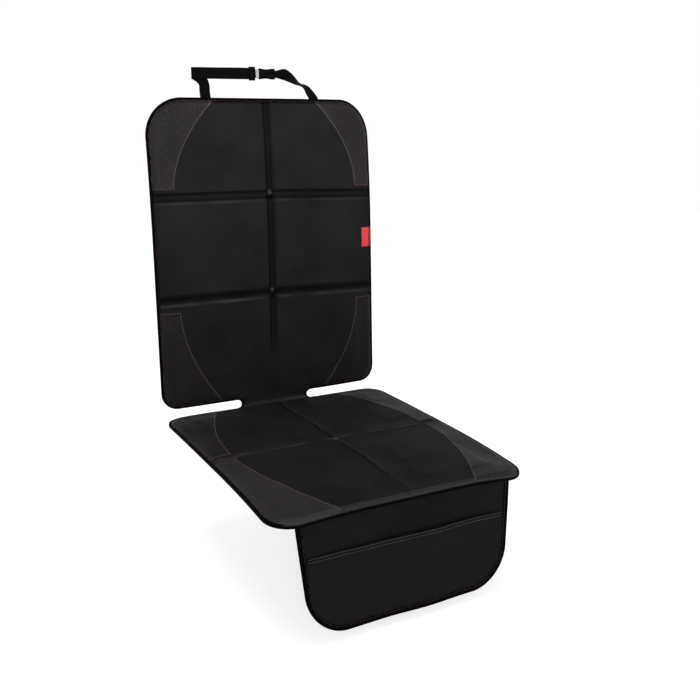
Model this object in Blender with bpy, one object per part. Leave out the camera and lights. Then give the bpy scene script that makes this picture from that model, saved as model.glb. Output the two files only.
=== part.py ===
"""Car seat protector mat, built as the sewn object is.

A backrest panel and a seat panel meet at a narrow neck. Each is a backing cloth, foam pads,
a quilted face cloth, four corner patches and a folded binding tape round the edge. A flap
with a mesh pocket hangs under the front of the seat, and a webbing strap with a slider and
a side-release buckle stands over the top edge.

Metres, +Z up, +X to the right of someone who faces the backrest, -Y towards the seat's front.
The origin is on the underside of the seat panel, where it rests on the vehicle's seat.
Every cloth is drawn as a flat pattern (across, along, height over its rear face) and then
placed by back_point, seat_point or flap_point.
"""

import math

import bmesh
import bpy
import numpy as np

# Overall sizes, over the binding
WIDTH = 0.470
BACK_HEIGHT = 0.605
SEAT_DEPTH = 0.532
CREASE_Y = 0.200
NOTCH_HEIGHT = 0.021
NOTCH_ROUND = 0.0085
NECK_HALF = 0.072
BACK_TOP_RADIUS = 0.072
BACK_LOW_RADIUS = 0.033
SEAT_REAR_RADIUS = 0.045
SEAT_FRONT_RADIUS = 0.051

# Sewn folds, measured from the crease
BACK_LOW_FOLD = 0.234
BACK_HIGH_FOLD = 0.430
SEAT_FOLD = 0.262
CHANNEL_HALF = 0.008
GROOVE_WIDTH = 0.0025
RIDGE_HEIGHT = 0.0010

# Cloth, foam and tape
GAP = 0.0003
BACKING_T = 0.0012
FACE_T = 0.0009
PATCH_T = 0.0008
PAD_T = 0.0065
PAD_EDGE_T = 0.0015
PAD_ROUND = 0.014
PAD_MARGIN = 0.0130
TAPE_T = 0.0010
TAPE_WIDTH = 0.0100
TAPE_ROUND_STEPS = 1
MITRE_LENGTH = 0.020
JOIN = 0.0002

# Gentle bows of the panels as they hang and lie
FLAT_HALF = 0.080
SWEEP_RIGHT = 0.026
SWEEP_LEFT = 0.003
SWEEP_AT_CREASE = 0.25
LEAN = 0.0156
LEAN_FROM = 0.332
FRONT_DROOP = 0.009
FRONT_DROOP_FROM = 0.318
CORNER_DROOP_RIGHT = 0.012
CORNER_DROOP_LEFT = 0.009
NECK_DISH = 0.0004

# Corner patches: where each seam starts on the end edge, and where it steps out to the side
SEAM_INSET = 0.045
SEAM_POWER = 1.9
SEAM_STEPS = 12
TOP_SEAM_END = 0.100
TOP_SEAM_LOW = 0.440
LOW_SEAM_END = 0.108
LOW_SEAM_HIGH = 0.213
REAR_SEAM_END = 0.122
REAR_SEAM_FRONT = 0.247
FRONT_SEAM_END = 0.118
FRONT_SEAM_REAR = 0.277

# Flap and mesh pocket
FLAP_INSET = 0.038
FLAP_DROP = 0.191
FLAP_TAPER = 0.080
FLAP_FLARE = math.radians(5.0)
FLAP_RADIUS = 0.071
FLAP_T = 0.0012
FLAP_BEHIND = 0.0030
POCKET_TOP = 0.063
POCKET_SLACK = 0.0065
POCKET_COLUMNS = 9
POCKET_COLUMN_SPAN = 0.86
ARC_SHARES = (0.3, 0.6)
MESH_T = 0.0006
HEM_WIDTH = 0.008
HEM_T = 0.0006

# Side label
TAG_LOW = 0.309
TAG_HIGH = 0.350
TAG_LENGTH = 0.0255
TAG_INSET = 0.0030
TAG_T = 0.0008

# Webbing, slider and buckle
WEB_WIDTH = 0.0205
WEB_T = 0.0012
WEB_LOOP = 0.0016
WEB_NARROW = 0.0134
TAIL_LENGTH = 0.034
LEFT_ANCHOR_X = -0.1155
RIGHT_ANCHOR_X = 0.1070
RUN_RISE = 0.0450
RUN_BEHIND = 0.0075
SLIDER_X = (-0.0255, -0.0145)
SLIDER_HEIGHT = 0.0250
PLUG_X = (-0.0135, -0.0066)
PLUG_HEIGHT = 0.0165
PLUG_T = 0.0050
BAR_T = 0.0014
BAR_WIDTH = 0.0025
TONGUE_T = 0.0024
TONGUE_LENGTH = 0.0160
ARM_WIDTH = 0.0018
BARB_START = 0.45
BARB_PEAK = 0.55
SOCKET_X = (-0.0063, 0.0270)
SOCKET_HEIGHT = 0.0198
SOCKET_T = 0.0072
SOCKET_WALL = 0.0016

INSET = TAPE_T + GAP
FACE_LOW = BACKING_T + GAP
FACE_TOP = FACE_LOW + FACE_T
PATCH_LOW = FACE_TOP + GAP
TAPE_CLEAR = PATCH_LOW + PATCH_T + GAP
TAPE_TOP = TAPE_CLEAR + TAPE_T
HALF = WIDTH / 2 - INSET
BACK_END = BACK_HEIGHT - INSET
BACK_START = NOTCH_HEIGHT + INSET
NECK = NECK_HALF - INSET
SEAT_END = SEAT_DEPTH - INSET
SEAM_SIDE = WIDTH / 2 - SEAM_INSET
TAG_OUTER = WIDTH / 2 - TAG_INSET
TAG_INNER = TAG_OUTER - TAG_LENGTH
RUN_Z = BACK_HEIGHT + RUN_RISE
FLAP_HALF = WIDTH / 2 - FLAP_INSET
FLAP_Y = CREASE_Y - SEAT_DEPTH + INSET + TAPE_WIDTH + FLAP_BEHIND + FLAP_T
FLAP_SHEET_HALF = FLAP_HALF - INSET
FLAP_END = FLAP_DROP - INSET
FLAP_CLEAR = FLAP_T + GAP + MESH_T + GAP

for old in list(bpy.data.objects):
    bpy.data.objects.remove(old, do_unlink=True)

PARTS = bpy.data.collections.new("car_seat_protector_mat")
CUTTERS = bpy.data.collections.new("cutters")
for group in (PARTS, CUTTERS):
    bpy.context.scene.collection.children.link(group)


# Placing flat patterns


def over(x, start, end):
    """Zero up to start, then a parabola that reaches one at end."""
    return np.clip((x - start) / (end - start), 0, None) ** 2


def fold_share(along):
    """How much of its thickness a cloth gives up to the mitre at the crease."""
    return np.clip(1 - along / MITRE_LENGTH, 0, 1)


def neck_dish(along):
    """How far the cloth between the crease and the lowest pads bows forwards."""
    share = np.clip(along / (BACK_START + PAD_MARGIN), 0, 1)
    return NECK_DISH * 4 * share * (1 - share)


def back_point(across, along, height):
    """A point of the backrest panel: along is up from the crease, height is out of its front."""
    side = SWEEP_RIGHT * over(across, FLAT_HALF, WIDTH / 2)
    side = side + SWEEP_LEFT * over(-across, FLAT_HALF, WIDTH / 2)
    share = SWEEP_AT_CREASE + (1 - SWEEP_AT_CREASE) * along / BACK_HEIGHT
    bow = side * share + LEAN * over(along, LEAN_FROM, BACK_HEIGHT) - neck_dish(along)
    return np.stack([across, CREASE_Y + bow - height, along + height * fold_share(along)], -1)


def seat_droop(across, along):
    """How far the seat panel hangs below its flat middle."""
    side = CORNER_DROOP_RIGHT * over(across, FLAT_HALF, WIDTH / 2)
    side = side + CORNER_DROOP_LEFT * over(-across, FLAT_HALF, WIDTH / 2)
    front = FRONT_DROOP * over(along, FRONT_DROOP_FROM, SEAT_DEPTH)
    return side * np.clip(along / SEAT_DEPTH, 0, None) ** 2 + front


def seat_point(across, along, height):
    """A point of the seat panel: along is forwards from the crease, height is up."""
    y = CREASE_Y - along - height * fold_share(along)
    return np.stack([across, y, height - seat_droop(across, along)], -1)


def flap_point(across, along, height):
    """A point of the flap: along is down from the seat's underside, height is out of its front."""
    share = np.clip(along / FLAP_DROP, 0, 1)
    middle = seat_underside(np.zeros_like(across))
    top = seat_underside(across) * (1 - share) + middle * share
    x = across * (1 - FLAP_TAPER * share)
    y = FLAP_Y - height - along * math.sin(FLAP_FLARE)
    return np.stack([x, y, top - GAP - along * math.cos(FLAP_FLARE)], -1)


def round_corners(across, along, half, low, high, low_radius, high_radius):
    """Turns a pattern's square corners into arcs: each square ring becomes a round one."""
    for end, sign, radius in ((low, -1, low_radius), (high, 1, high_radius)):
        p = (np.abs(across) - (half - radius)) / radius
        q = (sign * (along - end) + radius) / radius
        corner = (p > 0) & (q > 0)
        ring = np.where(corner, np.maximum(p, q) / np.hypot(p, q), 1)
        across = np.where(corner, np.sign(across) * (half - radius + p * ring * radius), across)
        along = np.where(corner, end + sign * (q * ring * radius - radius), along)
    return across, along


# Making objects


def material(name, colour, roughness, metallic=0.0):
    made = bpy.data.materials.new(name)
    made.use_nodes = True
    shader = made.node_tree.nodes["Principled BSDF"]
    shader.inputs["Base Color"].default_value = (*colour, 1)
    shader.inputs["Roughness"].default_value = roughness
    shader.inputs["Metallic"].default_value = metallic
    return made


def add_object(name, bm, finish, group=None):
    bmesh.ops.recalc_face_normals(bm, faces=bm.faces)
    mesh = bpy.data.meshes.new(name)
    bm.to_mesh(mesh)
    bm.free()
    obj = bpy.data.objects.new(name, mesh)
    (group or PARTS).objects.link(obj)
    if finish:
        obj.data.materials.append(material(name + "_" + finish[0], *finish[1:]))
    if group is CUTTERS:
        obj.hide_render = True
        obj.display_type = "WIRE"
    return obj


def grid_solid(name, place, across, along, low, top, finish, keep=None):
    """A cloth or a pad: the kept cells of a grid, between its low and its top heights."""
    rows, cols = across.shape
    keep = np.ones((rows - 1, cols - 1), bool) if keep is None else keep
    lower = place(across, along, low)
    upper = place(across, along, top)
    bm = bmesh.new()
    verts = {}

    def vert(level, r, c):
        if (level, r, c) not in verts:
            verts[level, r, c] = bm.verts.new((lower, upper)[level][r, c])
        return verts[level, r, c]

    def kept(r, c):
        return 0 <= r < rows - 1 and 0 <= c < cols - 1 and keep[r, c]

    for r, c in zip(*np.nonzero(keep)):
        a, b, d, e = (r, c), (r, c + 1), (r + 1, c + 1), (r + 1, c)
        for level in (0, 1):
            bm.faces.new([vert(level, *p) for p in (a, b, d)])
            bm.faces.new([vert(level, *p) for p in (a, d, e)])
        walls = ((a, b, r - 1, c), (b, d, r, c + 1), (d, e, r + 1, c), (e, a, r, c - 1))
        for p, q, beside_r, beside_c in walls:
            if not kept(beside_r, beside_c):
                bm.faces.new([vert(0, *p), vert(0, *q), vert(1, *q), vert(1, *p)])
    return add_object(name, bm, finish)


def swept_solid(name, rings, finish):
    """A tape or webbing: closed rings of points, joined in order and capped at both ends."""
    bm = bmesh.new()
    made = [[bm.verts.new(p) for p in ring] for ring in rings]
    for one, two in zip(made, made[1:]):
        for i in range(len(one)):
            j = (i + 1) % len(one)
            bm.faces.new([one[i], one[j], two[j]])
            bm.faces.new([one[i], two[j], two[i]])
    bm.faces.new(made[0])
    bm.faces.new(made[-1])
    return add_object(name, bm, finish)


def tape_section(clear):
    """A folded tape's section as (outwards, height): a U that is open inwards."""
    middle = (clear - GAP) / 2
    radius = (clear + GAP) / 2 + TAPE_T
    turns = np.linspace(-math.pi / 2, math.pi / 2, TAPE_ROUND_STEPS + 2)
    outer = [(INSET * math.cos(a), middle + radius * math.sin(a)) for a in turns]
    lips = [(-TAPE_WIDTH, clear + TAPE_T), (-TAPE_WIDTH, clear)]
    inner = [(GAP, clear), (GAP, -GAP)]
    return np.array([*outer, *lips, *inner, (-TAPE_WIDTH, -GAP), (-TAPE_WIDTH, -GAP - TAPE_T)])


def binding(name, place, path, clear, finish):
    """The tape folded over a panel's edge along path, whose outside lies to its right."""
    path = np.asarray(path)
    step = np.diff(path, axis=0)
    step /= np.linalg.norm(step, axis=1)[:, None]
    before = np.concatenate([step[:1], step])
    after = np.concatenate([step, step[-1:]])
    mean = before + after
    mean /= np.linalg.norm(mean, axis=1)[:, None]
    stretch = 1 / np.sum(mean * after, axis=1)
    out = np.stack([mean[:, 1], -mean[:, 0]], -1) * stretch[:, None]
    section = tape_section(clear)
    flat = path[:, None] + out[:, None] * section[None, :, :1]
    height = np.broadcast_to(section[None, :, 1], flat.shape[:2])
    return swept_solid(name, place(flat[..., 0], flat[..., 1], height), finish)


def box(name, low, high, finish=None, group=None):
    """A block between two corners."""
    bm = bmesh.new()
    bmesh.ops.create_cube(bm, size=1)
    low, high = np.array(low), np.array(high)
    for v in bm.verts:
        v.co = (low + high) / 2 + np.array(v.co) * (high - low)
    return add_object(name, bm, finish, group)


def prism(name, outline, axis, low, high, finish=None, group=None):
    """A flat outline carried along one axis."""
    bm = bmesh.new()
    ring = [bm.verts.new(np.insert(p, axis, low)) for p in outline]
    face = bm.faces.new(ring)
    raised = bmesh.ops.extrude_face_region(bm, geom=[face])["geom"]
    shift = np.insert([0.0, 0.0], axis, high - low)
    bmesh.ops.translate(bm, vec=shift, verts=[g for g in raised if isinstance(g, bmesh.types.BMVert)])
    return add_object(name, bm, finish, group)


def boolean(target, tool, operation):
    cut = target.modifiers.new(tool.name, "BOOLEAN")
    cut.operation = operation
    cut.solver = "EXACT"
    cut.object = tool


# Pattern lines of a quilted panel


def quilt_lines(low, high, folds, extra):
    """Lines from edge to edge, and how far a pad has risen on each; -1 is outside the pads."""
    starts = [low + PAD_MARGIN, *(f + CHANNEL_HALF for f in folds)]
    ends = [*(f - CHANNEL_HALF for f in folds), high - PAD_MARGIN]
    lines, rise, pads = [low, low + PAD_MARGIN - GROOVE_WIDTH], [-1, -1], []
    for i, (start, end) in enumerate(zip(starts, ends)):
        crown = [start + PAD_ROUND, *sorted(x for x in extra if start < x < end), end - PAD_ROUND]
        pads.append(slice(len(lines), len(lines) + len(crown) + 2))
        lines += [start, *crown, end]
        rise += [0, *(1 for _ in crown), 0]
        if i < len(folds):
            groove = CHANNEL_HALF - GROOVE_WIDTH
            lines += [folds[i] - groove, folds[i], folds[i] + groove]
            rise += [-1, -1, -1]
    lines += [high - PAD_MARGIN + GROOVE_WIDTH, high]
    return np.array(lines), np.array([*rise, -1, -1]), pads


ARC_STARTS = (WIDTH / 2 - BACK_TOP_RADIUS, WIDTH / 2 - SEAT_FRONT_RADIUS)
ACROSS = [NECK, NECK + NOTCH_ROUND, (NECK + ARC_STARTS[0]) / 2, *ARC_STARTS]
COLS, COL_RISE, COL_PADS = quilt_lines(-HALF, HALF, [0.0], [*ACROSS, *(-x for x in ACROSS)])
NECK_COLS = [int(np.argmin(np.abs(COLS - x))) for x in (-NECK, NECK)]
SEAT_ROWS, SEAT_RISE, SEAT_PADS = quilt_lines(
    JOIN, SEAT_END, [SEAT_FOLD],
    [SEAT_REAR_RADIUS, (SEAT_FOLD + SEAT_DEPTH) / 2, SEAT_DEPTH - SEAT_FRONT_RADIUS],
)
BACK_ROWS, BACK_RISE, BACK_PADS = quilt_lines(
    BACK_START, BACK_END, [BACK_LOW_FOLD, BACK_HIGH_FOLD],
    [
        (NOTCH_HEIGHT + BACK_LOW_FOLD) / 2, (BACK_LOW_FOLD + BACK_HIGH_FOLD) / 2,
        BACK_HEIGHT - BACK_TOP_RADIUS, BACK_HEIGHT - 2 * BACK_TOP_RADIUS / 3,
    ],
)
NECK_ROWS = [JOIN, BACK_START - NOTCH_ROUND]
BACK_ROWS = np.array([*NECK_ROWS, *BACK_ROWS])
BACK_RISE = np.array([-1, -1, *BACK_RISE])
BACK_PADS = [slice(p.start + 2, p.stop + 2) for p in BACK_PADS]


def backing_lines(rise):
    """A backing keeps its edges and the pads' own lines, and has none in the channels."""
    keep = np.array(rise) >= 0
    keep[[0, -1]] = True
    return np.nonzero(keep)[0]


def seat_underside(across):
    """Height of the seat backing's underside over the flap, straight between its own lines."""
    behind = CREASE_Y - FLAP_Y
    border = SEAT_END - PAD_MARGIN
    share = (SEAT_END - behind) / (SEAT_END - border)
    sheet = backing_lines(COL_RISE)
    lines = COLS[sheet]
    front = seat_droop(lines, SEAT_END)
    rear = seat_droop(lines, border)
    return -np.interp(across, lines, front * (1 - share) + rear * share)


class Panel:
    """One quilted panel: its pattern lines, its outline and the height of its face cloth."""

    def __init__(self, name, place, rows, rise, pads, corners, neck_rows):
        self.name, self.place, self.pads, self.neck_rows = name, place, pads, neck_rows
        self.rise = rise
        low = rows[neck_rows]
        across, along = np.meshgrid(COLS, rows)
        self.across, self.along = round_corners(across, along, HALF, low, rows[-1], *corners)
        self.keep = np.ones((len(rows) - 1, len(COLS) - 1), bool)
        self.keep[:neck_rows, : NECK_COLS[0]] = False
        self.keep[:neck_rows, NECK_COLS[1] :] = False
        if neck_rows:
            self.round_notches()
        self.face_low = self.face_height()

    def round_notches(self):
        """Draws each notch's inner corner out onto the arc that rounds it."""
        bulge = NOTCH_ROUND * (1 - math.sqrt(0.5))
        self.across[self.neck_rows, NECK_COLS] += bulge * np.array([-1, 1])
        self.along[self.neck_rows, NECK_COLS] -= bulge

    def face_height(self):
        """The face cloth lies over the pads, dips into each channel and lifts at its middle."""
        u, v = np.meshgrid(COL_RISE, self.rise)
        pad = FACE_LOW + GAP + PAD_EDGE_T + (PAD_T - PAD_EDGE_T) * u * v
        height = np.where((u >= 0) & (v >= 0), pad, FACE_LOW)
        fold_cols = np.nonzero(COLS == 0)[0]
        ends = [p.stop for p in self.pads[:-1]]
        height[self.pads[0].start : self.pads[-1].stop, fold_cols] += RIDGE_HEIGHT
        for end in ends:
            height[end + 1, 2:-2] = FACE_LOW + RIDGE_HEIGHT
        return height

    def face(self, finish):
        return grid_solid(
            self.name + "_face", self.place, self.across, self.along,
            self.face_low, self.face_low + FACE_T, finish, self.keep,
        )

    def backing(self, finish):
        kept = np.array(self.rise) >= 0
        kept[: self.neck_rows + 1] = True
        kept[-1] = True
        rows = np.nonzero(kept)[0]
        cols = backing_lines(COL_RISE)
        pick = np.ix_(rows, cols)
        return grid_solid(
            self.name + "_backing", self.place, self.across[pick], self.along[pick],
            0.0 * self.across[pick], BACKING_T + 0.0 * self.across[pick], finish,
            self.keep[np.ix_(rows[:-1], cols[:-1])],
        )

    def foam(self, levels, finish):
        for level, rows in zip(levels, self.pads):
            for side, cols in zip(("left", "right"), COL_PADS):
                top = self.face_low[rows, cols] - GAP
                grid_solid(
                    f"{self.name}_pad_{level}_{side}", self.place,
                    self.across[rows, cols], self.along[rows, cols],
                    FACE_LOW + 0 * top, top, finish,
                )

    def edge(self):
        """The panel's outline from the right of the neck round to its left."""
        n, last_r, last_c = self.neck_rows, self.across.shape[0] - 1, self.across.shape[1] - 1
        left, right = NECK_COLS
        walk = [(r, right) for r in range(n)]
        walk += [(n, c) for c in range(right, last_c)]
        walk += [(r, last_c) for r in range(n, last_r)]
        walk += [(last_r, c) for c in range(last_c, 0, -1)]
        walk += [(r, 0) for r in range(last_r, n, -1)]
        walk += [(n, c) for c in range(left + 1)]
        walk += [(r, left) for r in range(n - 1, -1, -1)]
        return np.array([(self.across[p], self.along[p]) for p in walk])

    def patch(self, name, side, seam_end, end, seam_low, finish):
        """A second cloth in one corner, cut from a copy of the face along a curved seam."""
        share = np.linspace(0, 1, SEAM_STEPS + 1)
        curve = seam_end + (SEAM_SIDE - seam_end) * (1 - (1 - share) ** SEAM_POWER)
        seam = [(side * x, end + (seam_low - end) * s) for x, s in zip(curve, share)]
        past = end + math.copysign(TAPE_WIDTH, end - seam_low)
        outline = [*seam, (side * WIDTH, seam_low), (side * WIDTH, past), (side * seam_end, past)]
        cols = np.nonzero(side * COLS > seam_end - PAD_MARGIN)[0]
        low, high = sorted((seam_low, past))
        middle = self.along[:, len(COLS) // 2]
        rows = np.nonzero((middle > low) & (middle < high))[0]
        rows = np.arange(max(rows[0] - 1, self.neck_rows), min(rows[-1] + 2, len(self.along)))
        cols = np.arange(max(cols[0] - 1, 0), min(cols[-1] + 2, len(COLS)))
        pick = np.ix_(rows, cols)
        base = self.face_low[pick] + FACE_T + GAP
        sheet = grid_solid(
            name, self.place, self.across[pick], self.along[pick], base, base + PATCH_T, finish
        )
        if self.place is back_point:
            cutter = prism(name + "_outline", outline, 1, 0.0, 2 * CREASE_Y, group=CUTTERS)
        else:
            outline = [(x, CREASE_Y - s) for x, s in outline]
            cutter = prism(name + "_outline", outline, 2, -CREASE_Y, CREASE_Y, group=CUTTERS)
        boolean(sheet, cutter, "INTERSECT")


def make_panels(finishes):
    back = Panel(
        "back", back_point, BACK_ROWS, BACK_RISE, BACK_PADS,
        (BACK_LOW_RADIUS - INSET, BACK_TOP_RADIUS - INSET), len(NECK_ROWS),
    )
    seat = Panel(
        "seat", seat_point, SEAT_ROWS, SEAT_RISE, SEAT_PADS,
        (SEAT_REAR_RADIUS - INSET, SEAT_FRONT_RADIUS - INSET), 0,
    )
    for panel, levels in ((back, ("low", "middle", "high")), (seat, ("rear", "front"))):
        panel.backing(finishes["backing"])
        panel.foam(levels, finishes["foam"])
        panel.face(finishes["face"])
    for label, side in (("left", -1), ("right", 1)):
        corner = finishes["patch"]
        back.patch(f"patch_back_high_{label}", side, TOP_SEAM_END, BACK_END, TOP_SEAM_LOW, corner)
        back.patch(f"patch_back_low_{label}", side, LOW_SEAM_END, BACK_START, LOW_SEAM_HIGH, corner)
        seat.patch(f"patch_seat_rear_{label}", side, REAR_SEAM_END, JOIN, REAR_SEAM_FRONT, corner)
        seat.patch(f"patch_seat_front_{label}", side, FRONT_SEAM_END, SEAT_END, FRONT_SEAM_REAR, corner)
    back_edge = back.edge()
    back_edge[[0, -1], 1] = TAPE_T
    binding("back_binding", back_point, back_edge, TAPE_CLEAR, finishes["tape"])
    seat_edge = seat.edge()
    seat_edge[[0, -1], 0] = [NECK_HALF + GAP, -NECK_HALF - GAP]
    binding("seat_binding", seat_point, seat_edge, TAPE_CLEAR, finishes["tape"])
    return back


def make_tag(back, finish):
    """The folded label lies over the binding's front lip and the pad beside it."""
    row = BACK_PADS[1].start + 1
    lines = COLS[COLS > TAG_INNER]
    lip = HALF - TAPE_WIDTH
    cols = np.array([TAG_INNER, *lines[lines < lip - GROOVE_WIDTH], lip - GAP, TAG_OUTER])
    face = np.interp(cols, COLS, back.face_low[row] + FACE_T)
    low = np.where(cols < lip - 2 * GAP, face, TAPE_TOP) + GAP
    across, along = np.meshgrid(cols, [TAG_LOW, TAG_HIGH])
    low = np.broadcast_to(low, across.shape)
    grid_solid("side_tag", back_point, across, along, low, low + TAG_T, finish)


def make_flap(finishes):
    """The front flap, its mesh pocket with a sewn hem, and its binding."""
    lip = FLAP_SHEET_HALF - TAPE_WIDTH - GAP
    span = POCKET_COLUMN_SPAN * lip
    middle = np.linspace(-span, span, POCKET_COLUMNS)
    corner = FLAP_RADIUS - INSET
    arc = corner * np.array(ARC_SHARES)
    outer = [*(FLAP_SHEET_HALF - corner + arc), lip, FLAP_SHEET_HALF]
    cols = np.array(sorted({*middle, *outer, *(-x for x in outer)}))
    bottom = FLAP_END - TAPE_WIDTH - GAP
    low_rows = [FLAP_END - corner, *(FLAP_END - corner + arc), bottom, FLAP_END]
    pocket_rows = sorted([POCKET_TOP, POCKET_TOP + HEM_WIDTH, *low_rows])
    rows = np.array([0.0, GAP + 2 * TAPE_T, POCKET_TOP / 2, *pocket_rows])
    square, along = np.meshgrid(cols, rows)
    across, along = round_corners(square, along, FLAP_SHEET_HALF, -1.0, FLAP_END, corner, corner)
    flat = 0 * across
    grid_solid("flap_panel", flap_point, across, along, flat, flat + FLAP_T, finishes["face"])

    pocket = slice(3, None)
    down = (along[pocket] - POCKET_TOP) / (bottom - POCKET_TOP)
    inside = np.abs(square[pocket]) / lip
    belly = POCKET_SLACK * np.clip(1 - inside**2, 0, 1) * np.clip(1 - down**2, 0, 1)
    low = FLAP_T + GAP + belly
    grid_solid(
        "mesh_pocket", flap_point, across[pocket], along[pocket], low, low + MESH_T, finishes["mesh"]
    )
    within = slice(1, -1)
    hem = low[:2, within] + MESH_T + GAP
    across_hem = across[3:5, within] * (1 - GAP / lip)
    grid_solid(
        "pocket_hem", flap_point, across_hem, along[3:5, within], hem, hem + HEM_T, finishes["tape"]
    )
    last_r, last_c = len(rows) - 1, len(cols) - 1
    walk = [(r, last_c) for r in range(1, last_r)]
    walk += [(last_r, c) for c in range(last_c, 0, -1)]
    walk += [(r, 0) for r in range(last_r, 0, -1)]
    path = [(across[p], along[p]) for p in walk]
    binding("flap_binding", flap_point, path, FLAP_CLEAR, finishes["tape"])


# Strap and buckle


def smooth(points, steps):
    """A curve through the given rows of numbers, with a few steps from each to the next."""
    points = np.asarray(points, float)
    ends = np.concatenate([2 * points[:1] - points[1:2], points, 2 * points[-1:] - points[-2:-1]])
    t = np.linspace(0, 1, steps, endpoint=False)[:, None]
    made = []
    for a, b, c, d in zip(ends, ends[1:], ends[2:], ends[3:]):
        made.append(b + 0.5 * t * (c - a + t * (2 * a - 5 * b + 4 * c - d + t * (3 * (b - c) + d - a))))
    return np.concatenate([*made, points[-1:]])


def webbing(name, stations, steps, finish):
    """Flat webbing through stations of (x, y, z, direction of its width, its width)."""
    line = smooth([(*p, *way, wide) for *p, way, wide in stations], steps)
    centre, way, wide = line[:, :3], line[:, 3:6], line[:, 6:]
    along = np.gradient(centre, axis=0)
    along /= np.linalg.norm(along, axis=1)[:, None]
    way = way - np.sum(way * along, axis=1)[:, None] * along
    way /= np.linalg.norm(way, axis=1)[:, None]
    out = np.cross(along, way)
    corners = ((-1, -1), (1, -1), (1, 1), (-1, 1))
    rings = [centre + i * way * wide / 2 + j * out * WEB_T / 2 for i, j in corners]
    return swept_solid(name, np.stack(rings, 1), finish)


def loop_stations(bar_x, heading):
    """Webbing passing round a bar: in along the front, round, and back along the rear."""
    up = (0, 0, 1)
    made = []
    for degrees in (-90, -45, 0, 45, 90):
        a = math.radians(degrees)
        x = bar_x + heading * WEB_LOOP * math.cos(a)
        made.append((x, RUN_Y + WEB_LOOP * math.sin(a), RUN_Z, up, WEB_NARROW))
    return made


RUN_Y = CREASE_Y + LEAN + GAP + TAPE_T + GAP + WEB_T / 2 + SWEEP_LEFT + WEB_LOOP
TAIL_HEIGHT = -(GAP + TAPE_T + GAP + WEB_T / 2)


def tail_stations(x):
    """The webbing's sewn end, flat on the rear of the panel, from its low end upwards."""
    made = []
    reach = (-TAIL_LENGTH, -TAPE_WIDTH, GAP, TAPE_WIDTH / 2)
    for along in (BACK_HEIGHT + d for d in reach):
        rear = back_point(COLS, along + 0 * COLS, TAIL_HEIGHT + 0 * COLS)[:, 1]
        y, left, right = np.interp([x, x - WEB_WIDTH / 2, x + WEB_WIDTH / 2], COLS, rear)
        made.append((x, y, along, (1, (right - left) / WEB_WIDTH, 0), WEB_WIDTH))
    return made


def make_straps(finish):
    """The left length turns over into the level run; the right one twists down to its anchor."""
    up, x0 = (0, 0, 1), LEFT_ANCHOR_X
    front_y, rear_y = RUN_Y - WEB_LOOP, RUN_Y + WEB_LOOP
    turn = [
        (-0.02, 0.40, 0.29, (1, 0, 0.05)), (-0.15, 0.80, 0.58, (0.90, 0, 0.40)),
        (-0.46, 1.00, 0.81, (0.60, 0, 0.80)), (-0.80, 1.00, 0.93, (0.20, 0, 0.98)),
        (-1.00, 0.85, 0.96, up), (-1.11, 0.50, 0.965, up), (-1.00, 0.10, 0.965, up),
        (-0.73, 0.00, 0.97, up), (1.00, 0.00, 0.98, up),
    ]
    left = tail_stations(x0)
    for side, behind, rise, way in turn:
        y, z = front_y + behind * RUN_BEHIND, BACK_HEIGHT + rise * RUN_RISE
        left.append((x0 + side * WEB_WIDTH, y, z, way, WEB_WIDTH))
    left += [
        (SLIDER_X[0] - WEB_T, front_y, RUN_Z, up, WEB_WIDTH),
        (SLIDER_X[1] - WEB_T, front_y, RUN_Z, up, WEB_NARROW),
    ]
    left += loop_stations(PLUG_X[0] + BAR_WIDTH, 1)
    left += [
        (SLIDER_X[1] - WEB_T, rear_y, RUN_Z, up, WEB_NARROW),
        (SLIDER_X[0] - WEB_T, rear_y, RUN_Z, up, WEB_WIDTH),
        (SLIDER_X[0] - WEB_WIDTH / 2, rear_y, RUN_Z, up, WEB_WIDTH),
    ]
    webbing("strap_left", left, 3, finish)

    bar_x = SOCKET_X[1] - BAR_WIDTH
    right = [
        (bar_x + WEB_WIDTH, rear_y, RUN_Z, up, WEB_WIDTH),
        (bar_x + BAR_WIDTH + 3 * WEB_T, rear_y, RUN_Z, up, WEB_NARROW),
    ]
    right += loop_stations(bar_x, -1)[::-1]
    right += [
        (bar_x + BAR_WIDTH + 3 * WEB_T, front_y, RUN_Z, up, WEB_NARROW),
        (bar_x + WEB_WIDTH, front_y, RUN_Z, (0, -0.10, 1), WEB_WIDTH),
    ]
    twist = [
        (0.18, 0.89, (0.25, -0.50, 0.80)), (0.37, 0.73, (0.35, -0.85, 0.35)),
        (0.56, 0.58, (0.45, -0.90, 0.10)), (0.77, 0.41, (0.75, -0.55, 0.20)),
        (0.92, 0.20, (0.95, -0.15, 0.15)),
    ]
    start = bar_x + WEB_WIDTH
    for share, rise, way in twist:
        x = start + share * (RIGHT_ANCHOR_X - start)
        right.append((x, front_y, BACK_HEIGHT + rise * RUN_RISE, way, WEB_WIDTH))
    right += tail_stations(RIGHT_ANCHOR_X)[::-1]
    webbing("strap_right", right, 3, finish)


def make_slider(finish):
    """A flat sleeve that both layers of the webbing run through."""
    slot_y = WEB_LOOP + WEB_T / 2 + GAP
    shell_y = slot_y + TAPE_T
    half = SLIDER_HEIGHT / 2
    slot = WEB_WIDTH / 2 + GAP
    body = box(
        "strap_slider", (SLIDER_X[0], RUN_Y - shell_y, RUN_Z - half),
        (SLIDER_X[1], RUN_Y + shell_y, RUN_Z + half), finish,
    )
    cut = box(
        "slider_slot", (SLIDER_X[0] - TAPE_T, RUN_Y - slot_y, RUN_Z - slot),
        (SLIDER_X[1] + TAPE_T, RUN_Y + slot_y, RUN_Z + slot), group=CUTTERS,
    )
    boolean(body, cut, "DIFFERENCE")


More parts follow.
